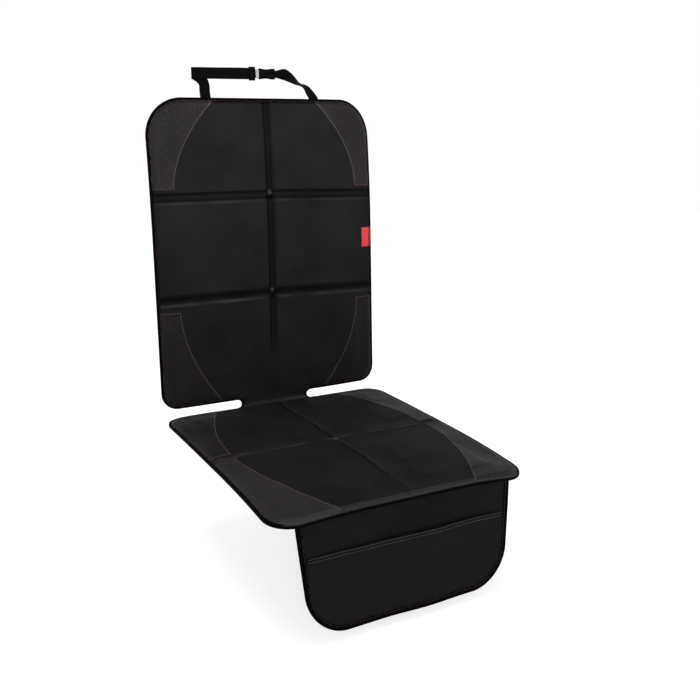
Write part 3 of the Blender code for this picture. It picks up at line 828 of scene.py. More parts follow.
@dataclass
class Stitching:
    """A row of lockstitches: short threads that dive into the cloth at each end."""

    name: str
    pitch: float = 0.0034
    length: float = 0.0026
    radius: float = 0.00032
    around: int = 5

    def build(self, rows: Rows, finish: Finish, slot: str) -> bpy.types.Object:
        """Lays stitches along rows.

        Each stitch is a tube with five points round and four rings, whose radius and height
        follow a half sine from end to end.

        Args:
            rows: pairs of a line of points and the cloth's outward directions there.
            finish: the thread's finish.
            slot: the record's material slot.

        Returns:
            One object with every stitch.
        """
        centres, forwards, outs = [], [], []
        for line, out in rows:
            both = resampled(np.concatenate([line, out], 1), self.pitch)
            mid = (both[1:] + both[:-1]) / 2
            step = both[1:, :3] - both[:-1, :3]
            centres.append(mid[:, :3])
            forwards.append(step / np.maximum(np.linalg.norm(step, axis=1, keepdims=True), 1e-12))
            outs.append(mid[:, 3:] / np.linalg.norm(mid[:, 3:], axis=1, keepdims=True))
        centre, forward, out = (np.concatenate(x) for x in (centres, forwards, outs))
        side = np.cross(forward, out)
        share = np.array([0.0, 0.28, 0.72, 1.0])
        swell = np.sin(np.pi * np.clip(share, 0.12, 0.88))
        turn = np.arange(self.around) / self.around * 2 * np.pi
        ahead = (share - 0.5) * self.length
        lift = self.radius * (1.5 * swell - 0.9)
        ring = self.radius * swell[:, None]
        sideways, upwards = ring * np.cos(turn), lift[:, None] + ring * np.sin(turn)
        points = (
            centre[:, None, None]
            + forward[:, None, None] * ahead[None, :, None, None]
            + side[:, None, None] * sideways[None, :, :, None]
            + out[:, None, None] * upwards[None, :, :, None]
        )
        index = np.arange(len(share) * self.around).reshape(len(share), self.around)
        first = (index.size * np.arange(len(centre)))[:, None, None]
        nxt = np.roll(index, -1, axis=1)
        quads = np.stack([index[:-1], index[1:], nxt[1:], nxt[:-1]], -1).reshape(-1, 4)
        quads = (quads[None] + first).reshape(-1, 4)
        ends = (np.stack([index[0], index[-1, ::-1]])[None] + first).reshape(-1, self.around)
        mesh = bpy.data.meshes.new(self.name)
        mesh.from_pydata(points.reshape(-1, 3), [], quads.tolist() + ends.tolist())
        shaded(mesh, None)
        return dress(link(bpy.data.objects.new(self.name, mesh)), finish, slot)


# Quilted panels


@dataclass
class PadRun:
    """The pads along one direction of a panel: where each starts and ends."""

    starts: Array
    ends: Array

    def inside(self, x: Array) -> Array:
        """Distance into the nearest pad, negative in the channels and the margin."""
        return np.max(np.minimum(x[..., None] - self.starts, self.ends - x[..., None]), axis=-1)


def graded(low: float, high: float, step: float, exact: list[float]) -> Array:
    """Lines from low to high about step apart, with a line on each exact place.

    Args:
        low: the first line.
        high: the last line.
        step: the spacing aimed at.
        exact: places that need a line of their own.

    Returns:
        The lines in order.
    """
    stops = sorted({low, high, *(x for x in exact if low < x < high)})
    runs = [np.linspace(a, b, max(1, round((b - a) / step)) + 1)[:-1] for a, b in zip(stops, stops[1:])]
    return np.array([*np.concatenate(runs), high])


def bell(x: Array, middle: float, wide: float) -> Array:
    """A smooth bump, one at its middle: e to the minus ((x − middle) / wide)²."""
    return np.exp(-(((x - middle) / wide) ** 2))


@dataclass(frozen=True)
class Drape:
    """How the face cloth lies over its foam: heights, the widths they fade over, and shades."""

    round_power: float = 2.3
    under_tape: float = 0.0010
    lip_rise: float = 0.0009
    lip_run: float = 0.004
    pad_run: float = 0.017
    ease: float = 0.0022
    ease_from: float = 0.020
    ease_run: float = 0.034
    calm_depth: float = 0.006
    swell: float = 0.00045
    swell_wave: float = 0.11
    pinch: float = 0.0019
    pinch_wide: float = 0.018
    peak: float = 0.0026
    peak_wide: float = 0.0042
    peak_up: float = 0.0020
    corner: float = 0.0006
    corner_wide: float = 0.024
    corner_up: float = 0.012
    corner_wave: float = 0.013
    roll: float = 0.0052
    roll_wide: float = 0.0085
    roll_uneven: float = 0.0005
    pucker: float = 0.00018
    long_pucker: float = 0.00030
    pucker_fade: float = 0.009
    drift: float = 0.0012
    wander: float = 0.0010
    # Painted light: a highlight on the peak where channels cross, shade in the pinch below it and beside
    # the tapes, and a highlight along the seat's front.
    peak_pale: float = 2.2
    pinch_dark: float = 0.8
    tape_dark: float = 0.75
    front_pale: float = 0.60


DRAPE = Drape()


@dataclass(frozen=True)
class Channel:
    """A sewn channel's section and shade: two grooves with a low ridge between, and the pads beside.

    Distances run from its middle, and are positive towards the panel's high end, or the right.
    """

    at: float = 0.0
    foot: float = 0.0050
    depth: float = 0.0062
    ridge: float = 0.55
    above: float = 0.007
    below: float = 0.007
    # The dark and pale shares are painted shade and painted highlight: shade in the grooves and the band,
    # highlight on the ridge and on the rim that faces the lamps.
    groove_dark: tuple[float, float] = (0.6, 0.6)
    groove_wide: float = 0.0026
    band_dark: float = 0.0
    ridge_pale: float = 0.0
    rim_pale: float = 0.0
    rim_side: int = -1
    band_at: float = 0.002
    band_wide: float = 0.0068
    rim_out: float = 0.0040
    rim_wide: float = 0.0028

    def dip(self, x: Array) -> Array:
        """How far the cloth lies below the pads.

        Outside the grooves it is depth times (1 − d / rounding) to a power. Between them the
        ridge takes off its share, as the square of a cosine.

        Args:
            x: distance from the channel's middle.

        Returns:
            The depth in metres.
        """
        wide = np.where(x > 0, self.above, self.below)
        pads = (1 - np.clip((np.abs(x) - self.foot) / wide, 0, 1)) ** DRAPE.round_power
        middle = 1 - self.ridge * np.cos(np.clip(x / self.foot, -1, 1) * np.pi / 2) ** 2
        return self.depth * np.where(np.abs(x) < self.foot, middle, pads)

    def shade(self, x: Array) -> Array:
        """Signed painted light across it: shade in the grooves and the band, highlight on the ridge and the
        rim.

        Each groove, the band, the ridge and the rim is a bell of its own.

        Args:
            x: distance from the channel's middle.

        Returns:
            Up to one for dark, and down to minus one for pale.
        """
        low, high = self.groove_dark
        dark = low * bell(x, -self.foot, self.groove_wide) + high * bell(x, self.foot, self.groove_wide)
        dark = np.maximum(dark, self.band_dark * bell(x, self.band_at, self.band_wide))
        rim = bell(x, self.rim_side * (self.foot + self.rim_out), self.rim_wide)
        return dark - self.ridge_pale * bell(x, 0.0, 0.8 * self.foot) - self.rim_pale * rim


@dataclass(frozen=True)
class PatchCut:
    """How a pair of corner patches is cut: the panel's end, and the two ends of its seam.

    The left and the right shade are how much painted shade each patch gets, below zero a painted highlight.
    """

    end: float
    seam_end: float
    seam_low: float
    left_shade: float
    right_shade: float


@dataclass
class QuiltedPanel:
    """One quilted panel: foam pads under a face cloth, corner patches, backing and binding.

    On the pattern u runs across and v along, before its corners are rounded.
    """

    name: str
    place: Placer
    low: float
    high: float
    folds: tuple[Channel, ...]
    upright: Channel
    radii: tuple[float, float]
    necked: bool
    flip: bool
    seed: int
    levels: tuple[str, ...]
    patches: dict[str, PatchCut]
    step: float = 0.0026
    tape_reach: float = 0.0054
    fold_sag: float = 0.0
    # Painted highlight along the roll of cloth at the crease.
    crease_pale: float = 0.9
    foam_lines: int = 36
    columns: PadRun = field(init=False)
    rows: PadRun = field(init=False)
    square_u: Array = field(init=False)
    square_v: Array = field(init=False)
    across: Array = field(init=False)
    along: Array = field(init=False)
    keep: Array = field(init=False)
    settle: Callable[[Array, Array], Array] | None = field(init=False, default=None)
    top: Array = field(init=False)

    def __post_init__(self) -> None:
        """Lays out the pattern's grid, rounds its corners and works out the cloth's height."""
        s = SIZES
        self.columns = PadRun(
            np.array([-s.half + s.pad_margin, s.channel_half]),
            np.array([-s.channel_half, s.half - s.pad_margin]),
        )
        self.rows = PadRun(
            np.array([self.low + s.pad_margin, *(f.at + s.channel_half for f in self.folds)]),
            np.array([*(f.at - s.channel_half for f in self.folds), self.high - s.pad_margin]),
        )
        self.square_u, self.square_v, self.keep = self.pattern(self.step)
        self.across, self.along = self.warp(self.square_u, self.square_v)
        self.settle = ClothSettle(self).offsets()
        self.top = self.height(self.square_u, self.square_v)

    def pattern(self, step: float) -> tuple[Array, Array, Array]:
        """The square pattern's grid and the cells that are cloth, not notch.

        Args:
            step: the spacing of its lines.

        Returns:
            Across and along at each point, and True for each cell to keep.
        """
        s = SIZES
        neck = s.neck_half - s.inset
        u = graded(-s.half, s.half, step, [-neck, neck, 0.0])
        turn = self.low / 2 * (1 - np.cos(np.linspace(0, np.pi, 11)))
        first = s.join if self.necked else self.low
        v = graded(first, self.high, step, [self.low, *(turn if self.necked else [])])
        mid_u, mid_v = (u[1:] + u[:-1]) / 2, (v[1:] + v[:-1]) / 2
        keep = ~((np.abs(mid_u)[None] > neck) & (mid_v[:, None] < self.low))
        return *np.meshgrid(u, v), keep

    def notch_end(self, along: Array) -> Array:
        """How far the neck's side stands out at a height: a half circle as wide as the notch is high."""
        radius = self.low / 2
        return radius - np.sqrt(np.clip(radius**2 - (along - radius) ** 2, 0, None))

    def warp(self, across: Array, along: Array) -> tuple[Array, Array]:
        """Rounds the pattern's corners, and the notches' inner ends on a necked panel.

        A square ring at share max(p, q) of a corner becomes the arc at that share. The neck's
        sides follow a half circle, and the cloth beside and above them moves with them, less
        and less up to 40 mm away.

        Args:
            across: u on the square pattern.
            along: v on the square pattern.

        Returns:
            Across and along on the cut pattern.
        """
        s = SIZES
        ends = ((self.low, -1, self.radii[0]), (self.high, 1, self.radii[1]))
        for end, sign, radius in ends:
            radius = radius - s.inset
            p = (np.abs(across) - (s.half - radius)) / radius
            q = (sign * (along - end) + radius) / radius
            corner = (p > 0) & (q > 0)
            if sign < 0 and self.necked:
                corner &= along >= end - 1e-9
            ring = np.where(corner, np.maximum(p, q) / np.maximum(np.hypot(p, q), 1e-9), 1)
            across = np.where(corner, np.sign(across) * (s.half - radius + p * ring * radius), across)
            along = np.where(corner, end + sign * (q * ring * radius - radius), along)
        if self.necked:
            side = np.clip(1 - np.abs(np.abs(across) - (s.neck_half - s.inset)) / s.notch_reach, 0, 1)
            level = np.clip(1 - (along - self.low) / s.notch_reach, 0, 1)
            out = np.where(along < self.low, self.notch_end(along), self.low / 2 * level**2)
            across = across + np.sign(across) * side * out
        return across, along

    def rise(self, depth: Array, rounding: float) -> Array:
        """How far a pad has risen, from its distance in: one minus (1 − d / rounding) to a power."""
        return 1 - (1 - np.clip(depth / rounding, 0, 1)) ** DRAPE.round_power

    def edge_in(self, u: Array, v: Array) -> Array:
        """Distance in from the nearest bound edge: the neck has none where it runs over the crease.

        Args:
            u: across the pattern.
            v: along the pattern.

        Returns:
            The distance, negative past an edge.
        """
        s = SIZES
        sides = s.half - np.abs(u)
        neck = s.neck_half - s.inset - np.abs(u)
        if self.necked:
            rear = np.where(neck > 0, 1.0, v - self.low)
            sides = np.minimum(sides, np.where(v < self.low, neck, 1.0))
        else:
            rear = np.maximum(v - self.low, neck)
        return np.minimum(sides, np.minimum(self.high - v, rear))

    def fade(self, v: Array) -> Array:
        """Share of the upright channel that is left: it fades low on the backrest, and at the front."""
        if self.necked:
            return 0.08 + 0.92 * smooth((v - 0.090) / 0.070)
        return 1 - 0.55 * smooth((v - 0.410) / 0.070)

    def drift(self, v: Array) -> Array:
        """How far the upright channel wanders off the middle: only on the seat, where it is creased."""
        line = np.linspace(0.0, 0.6, 301)
        return (not self.necked) * DRAPE.drift * np.interp(v, line, noise_line(len(line), 6.0, 57))

    def crease_roll(self, u: Array, v: Array) -> Array:
        """Share of the roll of cloth along the crease, the same from both panels' sides."""
        return bell(v, 0.0, DRAPE.roll_wide) * smooth((SIZES.neck_half + 0.002 - np.abs(u)) / 0.010)

    def height(self, u: Array, v: Array) -> Array:
        """Height of the face cloth's front over the panel's rear.

        The cloth rises from under the tape to the pads, dips into each channel, is pinched
        where channels cross, rolls over the crease, and small puckers run in from every seam.

        Args:
            u: across the pattern.
            v: along the pattern.

        Returns:
            The height in metres.
        """
        s, d = SIZES, DRAPE
        edge = self.edge_in(u, v)
        base = s.face_low + s.face
        full = s.gap + s.pad
        body = self.rise(edge - self.tape_reach + d.under_tape, d.pad_run)
        total = base + d.lip_rise * smooth(edge / d.lip_run) + (full - d.lip_rise) * body
        level = np.max([fold.dip(v - self.sag(u) - fold.at) for fold in self.folds], axis=0)
        upright = self.upright.dip(u - self.drift(v)) * self.fade(v)
        # The eighth root of the eighth powers joins the two channels without a crease.
        total = total - body * (level**8 + upright**8 + 1e-24) ** 0.125
        if self.necked:
            low = smooth((self.rows.starts[0] + d.ease_from - v) / d.ease_run)
            total = total - d.ease * body * low
        calm = np.clip(1 - np.maximum(level, upright) / d.calm_depth, 0, 1) * body
        total = total + d.swell * calm * noise_field(u, v, d.swell_wave, self.seed)
        total = total + body * self.puckers(u, v)
        for fold in self.folds:
            star = 0.5 + 0.5 * np.cos(4 * np.arctan2(v - fold.at, u))
            near = bell(np.hypot(u, v - fold.at), 0.0, d.pinch_wide)
            total = total - d.pinch * body * near * (0.15 + 0.85 * star)
            total = total + d.peak * bell(np.hypot(u, v - fold.at - d.peak_up), 0.0, d.peak_wide)
        corner = bell(np.hypot(np.abs(u) - s.neck_half, v - d.corner_up), 0.0, d.corner_wide)
        total = total + d.corner * body * corner * noise_field(u, v, d.corner_wave, 91)
        if self.settle is not None:
            total = total + calm * self.settle(u, v)
        roll = self.crease_roll(u, v)
        line = np.interp(u, np.linspace(-0.3, 0.3, 301), noise_line(301, 2.5, 64))
        return total * (1 - roll) + roll * (base + d.roll + d.roll_uneven * line)

    def sag(self, u: Array) -> Array:
        """How far a level fold runs off its line.

        On the backrest it falls to the right as a power of u, and on the seat it wanders.

        Args:
            u: across the pattern.

        Returns:
            The distance in metres.
        """
        line = np.linspace(-0.3, 0.3, 301)
        wander = (not self.necked) * DRAPE.wander * np.interp(u, line, noise_line(len(line), 6.0, 58))
        return wander - self.fold_sag * np.clip(u / SIZES.half, 0, 1) ** 1.3

    def puckers(self, u: Array, v: Array) -> Array:
        """Small waves that a seam draws into the cloth: noise along it, which fades away from it.

        Args:
            u: across the pattern.
            v: along the pattern.

        Returns:
            The change of height in metres.
        """
        s, d = SIZES, DRAPE
        line = np.linspace(-0.7, 0.7, 1401)
        seams = [(v, np.abs(u) - self.upright.foot), (v, s.half - np.abs(u) - self.tape_reach)]
        seams += [(u, np.abs(v - self.sag(u) - f.at) - f.foot) for f in self.folds]
        seams.append((u, self.high - v - self.tape_reach))
        total = np.zeros_like(u)
        for k, (along_seam, depth) in enumerate(seams):
            seed = self.seed * 7 + k * 3
            short = np.interp(along_seam, line, noise_line(len(line), 3.0, seed))
            longer = np.interp(along_seam, line, noise_line(len(line), 8.0, seed + 1))
            fade = np.exp(-np.clip(depth, 0, None) / d.pucker_fade) * smooth(depth / 0.002)
            total += fade * (d.pucker * short + d.long_pucker * longer)
        return total

    def shade(self, u: Array, v: Array) -> Array:
        """Signed painted light on the cloth, from painted shade to painted highlight.

        Each channel has its own, with rims that vary along it. Where channels cross there is a
        painted highlight on the peak over a painted shadow in the pinch, a painted highlight runs
        along the crease's roll, and painted shade lies beside the backrest's top tape and the seat's
        rear tape, with a painted highlight along the seat's front.

        Args:
            u: across the pattern.
            v: along the pattern.

        Returns:
            Up to one for dark, and down to minus one for pale.
        """
        d = DRAPE
        line = np.interp(u, np.linspace(-0.3, 0.3, 301), noise_line(301, 7.0, self.seed + 51))
        vary = np.clip(0.75 + 0.35 * line, 0.2, 1.3)
        tone = self.upright.shade(u - self.drift(v)) * self.fade(v)
        for fold in self.folds:
            across = fold.shade(v - self.sag(u) - fold.at)
            tone = tone + np.where(across < 0, vary * across, across)
            tone = tone - d.peak_pale * bell(np.hypot(u, v - fold.at - 0.0045), 0.0, 0.0046)
            tone = tone + d.pinch_dark * bell(np.hypot(0.5 * u, v - fold.at + 0.0068), 0.0, 0.0032)
        right = 0.65 + 0.35 * smooth(u / 0.03)
        tone = tone - self.crease_pale * right * self.crease_roll(u, v)
        if self.necked:
            tone = tone + d.tape_dark * bell(self.high - v, 0.0060, 0.0024)
        else:
            beside = smooth((np.abs(u) - SIZES.neck_half) / 0.01)
            tone = tone + d.tape_dark * smooth((0.010 - v) / 0.006) * beside
            tone = tone - d.front_pale * smooth((0.0135 - self.high + v) / 0.004)
        return np.clip(tone, -0.9, 0.85)

    def face(self) -> bpy.types.Object:
        """Makes the face cloth over the pads.

        Returns:
            The cloth.
        """
        points = self.place(self.across, self.along, self.top)
        uv = np.stack([self.across, self.along], -1)
        tone = self.shade(self.square_u, self.square_v)
        made = grid_object(f"{self.name}_quilted_face", points, uv, self.keep, self.flip, tone)
        dress(made, FACE_CLOTH, "face_cloth", f"{self.name}_face")
        return made

    def seam(self, side: int, cut: PatchCut, steps: int) -> Array:
        """A patch's curved seam, from the end edge to the side.

        Across grows as 1 − (1 − t) to a power.

        Args:
            side: −1 for the left and 1 for the right.
            cut: the patch's sizes.
            steps: how many points.

        Returns:
            Rows of (u, v).
        """
        s = SIZES
        t = np.linspace(0, 1, steps)
        reach = s.width / 2 - s.seam_inset
        curve = cut.seam_end + (reach - cut.seam_end) * (1 - (1 - t) ** s.seam_power)
        return np.stack([side * curve, cut.end + (cut.seam_low - cut.end) * t], -1)

    def patch(self, label: str, side: int, cut: PatchCut, patch_shade: float) -> tuple[Array, Array]:
        """One corner patch, and the line of its seam's stitches.

        The patch is a grid whose lines run from the curved seam to the panel's side, so its
        inner edge follows the seam, and it lies one cloth's thickness over the face.

        Args:
            label: the patch's CAD name.
            side: −1 for the left and 1 for the right.
            cut: the patch's sizes.
            patch_shade: painted shade on the patch, below zero a painted highlight.

        Returns:
            The stitches' points and the cloth's outward directions.
        """
        s = SIZES
        end, seam_low = cut.end, cut.seam_low
        count_v = int(abs(seam_low - end) / self.step) + 1
        seam = self.seam(side, cut, count_v)
        count_u = int((s.half - min(abs(seam[0, 0]), abs(seam[-1, 0]))) / self.step) + 1
        share = np.linspace(0, 1, count_u)[None]
        u = seam[:, :1] * (1 - share) + side * s.half * share
        v = seam[:, 1:] + self.sag(u) * (seam[:, 1:] - end) / (seam_low - end)
        lift = np.full(u.shape, s.gap + s.patch)
        lift[:, 0] = lift[-1] = 0.0
        across, along = self.warp(u, v)
        points = self.place(across, along, self.height(side * np.abs(u), v) + lift)
        # The patch carries the panel's painted light, and a painted shade of its own.
        tone = 0.8 * self.shade(u, v) + patch_shade
        # The turned-in edge beside the seam stands proud and gets a painted highlight.
        tone[:, :3] -= np.array([0.35, 0.80, 0.20])
        turn = self.flip ^ (side < 0) ^ (seam_low < end)
        made = grid_object(label + "_cloth", points, np.stack([across, along], -1), None, turn, tone)
        dress(made, PATCH_CLOTH, "patch_cloth", label)
        inset = 0.0022
        row_v = seam_low + math.copysign(inset, end - seam_low)
        back = np.linspace(seam[-1, 0] + side * inset, side * (s.half - self.tape_reach), 12)
        line_u = np.concatenate([seam[:, 0] + side * inset, back])
        line_v = np.concatenate([seam[:, 1], np.full_like(back, row_v)])
        open_ = np.abs(line_v - end) > self.tape_reach
        hold = np.minimum if seam_low > end else np.maximum
        line_u, line_v = line_u[open_], hold(line_v[open_], row_v)
        line_v = line_v + self.sag(line_u) * (line_v - end) / (seam_low - end)
        return self.on_cloth(line_u, line_v, s.gap + s.patch)

    def on_cloth(self, u: Array, v: Array, lift: float) -> tuple[Array, Array]:
        """Places pattern points on the cloth, with its outward directions from small steps.

        Args:
            u: across the pattern.
            v: along the pattern.
            lift: how far over the face cloth.

        Returns:
            The places and the directions.
        """
        d = 0.0005

        def at(a: Array, b: Array) -> Array:
            """One point of the cloth."""
            return self.place(*self.warp(a, b), self.height(a, b) + lift)

        out = np.cross(at(u + d, v) - at(u - d, v), at(u, v + d) - at(u, v - d))
        out = out / np.linalg.norm(out, axis=1, keepdims=True)
        return at(u, v), -out if self.flip else out

    def channel_rows(self) -> Rows:
        """The stitch lines in the two grooves of every channel.

        Returns:
            Pairs of points and outward directions.
        """
        s = SIZES
        inner = self.tape_reach + 0.001
        start = 0.150 if self.necked else self.low + inner
        v = np.arange(start, self.high - inner, 0.002)
        u = np.arange(-s.half + inner, s.half - inner, 0.002)
        sides = (-self.upright.foot, self.upright.foot)
        rows = [self.on_cloth(x + self.drift(v), v, 0.0) for x in sides]
        for fold in self.folds:
            for side in (-fold.foot, fold.foot):
                rows.append(self.on_cloth(u, fold.at + side + self.sag(u), 0.0))
        return rows

    def outline(self) -> tuple[Array, Array]:
        """The pattern's edge, from the right of the neck round to its left.

        Returns:
            Across and along on the cut pattern.
        """
        s = SIZES
        neck = s.neck_half - s.inset
        step = 0.0022
        right = np.arange(neck, s.half, step)
        up = np.arange(self.low, self.high, step)
        top = np.arange(-s.half, s.half, step)[::-1]
        turn = self.low / 2 * (1 - np.cos(np.linspace(0.2, np.pi, 24)))
        first = turn[:-1] if self.necked else np.zeros(0)
        if not self.necked:
            right = right[right > neck + (s.notch_height + s.inset) / 2 - 0.003]
        u = np.concatenate([np.full_like(first, neck), right, np.full_like(up, s.half), top])
        v = np.concatenate([first, np.full_like(right, self.low), up, np.full_like(top, self.high)])
        down = up[::-1]
        u = np.concatenate([u, np.full_like(down, -s.half), -right[::-1], np.full_like(first, -neck)])
        v = np.concatenate([v, down, np.full_like(right, self.low), first[::-1]])
        return self.warp(u, v)

    def binding(self) -> Rows:
        """Makes the folded tape round the edge.

        Returns:
            The lines of its stitches, with their outward directions.
        """
        across, along = self.outline()
        s = SIZES
        ends = (s.tape, s.tape) if self.necked else (self.low, self.low)
        path = np.stack([across, along], -1)
        path[0, 1], path[-1, 1] = ends
        lowest = 0.0005 if self.necked else -1.0
        name = f"{self.name}_edge_tape"
        obj, rows = FoldedTape(
            name, self.place, path, s.tape_top, self.tape_reach, self.seed, lowest
        ).build()
        dress(obj, EDGE_TAPE, "binding_tape", f"{self.name}_binding")
        return rows if self.necked else self.front_edge(obj, rows)

    def front_edge(self, obj: bpy.types.Object, rows: Rows) -> Rows:
        """Gives the tape along the seat's front edge its paler cloth on the faces that look up, and grey
        stitches.

        Args:
            obj: the seat's tape.
            rows: its stitch lines and their outward directions.

        Returns:
            What is left of the stitch lines on the other edges.
        """
        obj.data.materials.append(bpy.data.materials.get(FRONT_TAPE.name) or FRONT_TAPE.build())
        limit = SIZES.crease_y - SIZES.seat_depth + 0.0125
        centre, normal = face_rows(obj.data, "center"), face_rows(obj.data, "normal")
        # The faces that look forwards and down keep the black tape, a painted shadow under the seat's front
        # edge.
        front = (centre[:, 1] < limit) & (normal[:, 2] > 0.30)
        obj.data.polygons.foreach_set("material_index", front.astype(np.int32))
        ahead, others = [], []
        for line, out in rows:
            inside = np.nonzero(line[:, 1] < limit)[0]
            first, last = inside[0], inside[-1]
            ahead.append((line[first : last + 1], out[first : last + 1]))
            others += [(line[: first + 1], out[: first + 1]), (line[last:], out[last:])]
        stitches = Stitching("seat_front_stitches", 0.0034, 0.0026, 0.00036)
        stitches.build(ahead, HEM_THREAD, "binding_tape")
        return others

    def backing(self) -> bpy.types.Object:
        """Makes the backing cloth, drawn in a little along each channel by the quilting seams.

        Returns:
            The cloth.
        """
        u, v, keep = self.pattern(2 * self.step)
        across, along = self.warp(u, v)
        depth = np.minimum(self.columns.inside(u), self.rows.inside(v))
        pull = 0.0008 * smooth((0.004 - depth) / 0.008)
        soft = 0.00012 * noise_field(u, v, 0.09, self.seed + 40)
        points = self.place(across, along, pull + np.clip(soft, -0.0002, 0.0002))
        uv = np.stack([across, along], -1)
        made = grid_object(f"{self.name}_grip_backing", points, uv, keep, not self.flip)
        dress(made, GRIP_BACKING, "backing_cloth", f"{self.name}_backing")
        return made

    def foam(self, node: str, across: tuple[float, float], along: tuple[float, float]) -> None:
        """One foam pad, a closed block whose front lies 0.8 mm behind the face cloth's rear.

        The block is a grid carried over its front, down its sides and over its flat rear.

        Args:
            node: the pad's CAD name.
            across: its left and right edges.
            along: its low and high edges.
        """
        s, n = SIZES, self.foam_lines
        u, v = np.meshgrid(np.linspace(*across, n), np.linspace(*along, n))
        v = v + self.sag(u) * np.clip(np.minimum(v - self.low, self.high - v) / 0.05, 0, 1)
        front = np.maximum(self.height(u, v) - s.face - 0.0008, s.face_low + 0.0006)
        layers = [self.place(*self.warp(u, v), h) for h in (front, np.full_like(u, s.face_low))]
        points = np.concatenate([x.reshape(-1, 3) for x in layers])
        index = np.arange(n * n).reshape(n, n)
        rim = np.concatenate([index[0, :-1], index[:-1, -1], index[-1, :0:-1], index[:0:-1, 0]])
        quads = np.stack([index[:-1, :-1], index[:-1, 1:], index[1:, 1:], index[1:, :-1]], -1)
        quads = quads.reshape(-1, 4)
        nxt = np.roll(rim, -1)
        walls = np.stack([nxt, rim, rim + n * n, nxt + n * n], -1)
        faces = np.concatenate([quads, quads[:, ::-1] + n * n, walls])
        mesh = bpy.data.meshes.new(node + "_foam")
        mesh.from_pydata(points, [], (faces[:, ::-1] if self.flip else faces).tolist())
        shaded(mesh, None)
        block = link(bpy.data.objects.new(node + "_foam", mesh))
        dress(block, FOAM, "pad_foam", node)

    def build(self) -> None:
        """Makes every piece of the panel."""
        self.backing()
        self.face()
        seams = []
        for key, cut in self.patches.items():
            for word, side, patch_shade in (("left", -1, cut.left_shade), ("right", 1, cut.right_shade)):
                seams.append(self.patch(f"patch_{self.name}_{key}_{word}", side, cut, patch_shade))
        name, slot = self.name, "binding_tape"
        Stitching(f"{name}_patch_stitches", 0.0034, 0.0027, 0.00040).build(seams, SEAM_THREAD, slot)
        Stitching(f"{name}_quilting_stitches").build(self.channel_rows(), DARK_THREAD, slot)
        Stitching(f"{name}_tape_stitches").build(self.binding(), TAPE_THREAD, slot)
        for level, low, high in zip(self.levels, self.rows.starts, self.rows.ends):
            for word, left, right in zip(("left", "right"), self.columns.starts, self.columns.ends):
                self.foam(f"{self.name}_pad_{level}_{word}", (left, right), (low, high))


@dataclass
class ClothSettle:
    """Lets a coarse copy of a panel's cloth swell over its pads, to get its natural creases."""

    panel: QuiltedPanel
    spacing: float = 0.0065
    frames: int = 14
    cap: float = 0.0011

    def offsets(self) -> Callable[[Array, Array], Array]:
        """Runs the cloth.

        The sheet is pinned in the channels and the margin, is cut one part in seventy too
        large, and a light pressure from below lifts it. What it moves along its own normal is
        capped, and the middle of the move is taken off.

        Returns:
            A function of (u, v) that gives the change of height.
        """
        p, s = self.panel, SIZES
        u = graded(-s.half, s.half, self.spacing, [0.0])
        v = graded(p.low, p.high, self.spacing, [])
        uu, vv = np.meshgrid(u, v)
        depth = np.minimum(p.columns.inside(uu), p.rows.inside(vv))
        flat = np.stack([uu, vv, 0.004 * p.rise(depth, s.pad_round)], -1)
        obj = grid_object("settling_cloth", flat, flat[..., :2], None, False)
        held = obj.vertex_groups.new(name="held")
        held.add(np.nonzero((depth < 0.002).ravel())[0].tolist(), 1.0, "REPLACE")
        cloth = obj.modifiers.new("Cloth", "CLOTH")
        setting = cloth.settings
        setting.quality = 5
        setting.vertex_group_mass = "held"
        setting.shrink_min = -0.015
        setting.use_pressure = True
        setting.uniform_pressure_force = 3.0
        setting.tension_stiffness = 20
        setting.compression_stiffness = 20
        setting.bending_stiffness = 0.15
        setting.effector_weights.gravity = 0
        cloth.collision_settings.use_collision = False
        scene = bpy.context.scene
        cloth.point_cache.frame_end = self.frames
        for frame in range(1, self.frames + 1):
            scene.frame_set(frame)
        done = obj.evaluated_get(bpy.context.evaluated_depsgraph_get()).to_mesh()
        place = np.zeros(len(done.vertices) * 3)
        done.vertices.foreach_get("co", place)
        move = place.reshape(*uu.shape, 3)[..., 2] - flat[..., 2]
        bpy.data.objects.remove(obj, do_unlink=True)
        scene.frame_set(1)
        loose = depth > 0.004
        move = np.where(loose, move - np.median(move[loose]), 0.0)
        move = self.cap * np.tanh(move / self.cap)
        LOG.info("%s cloth settled: %.2f to %.2f mm", p.name, move.min() * 1000, move.max() * 1000)
        return lambda a, b: self.read(move, u, v, a, b)

    @staticmethod
    def read(table: Array, u: Array, v: Array, a: Array, b: Array) -> Array:
        """Reads a table with a smooth step between its lines.

        Args:
            table: rows of values.
            u: where its columns lie.
            v: where its rows lie.
            a: across, where it is read.
            b: along, where it is read.

        Returns:
            The value at each (a, b).
        """
        i = np.clip(np.searchsorted(u, a) - 1, 0, len(u) - 2)
        j = np.clip(np.searchsorted(v, b) - 1, 0, len(v) - 2)
        x = smooth((a - u[i]) / (u[i + 1] - u[i]))
        y = smooth((b - v[j]) / (v[j + 1] - v[j]))
        low = table[j, i] * (1 - x) + table[j, i + 1] * x
        high = table[j + 1, i] * (1 - x) + table[j + 1, i + 1] * x
        return low * (1 - y) + high * y


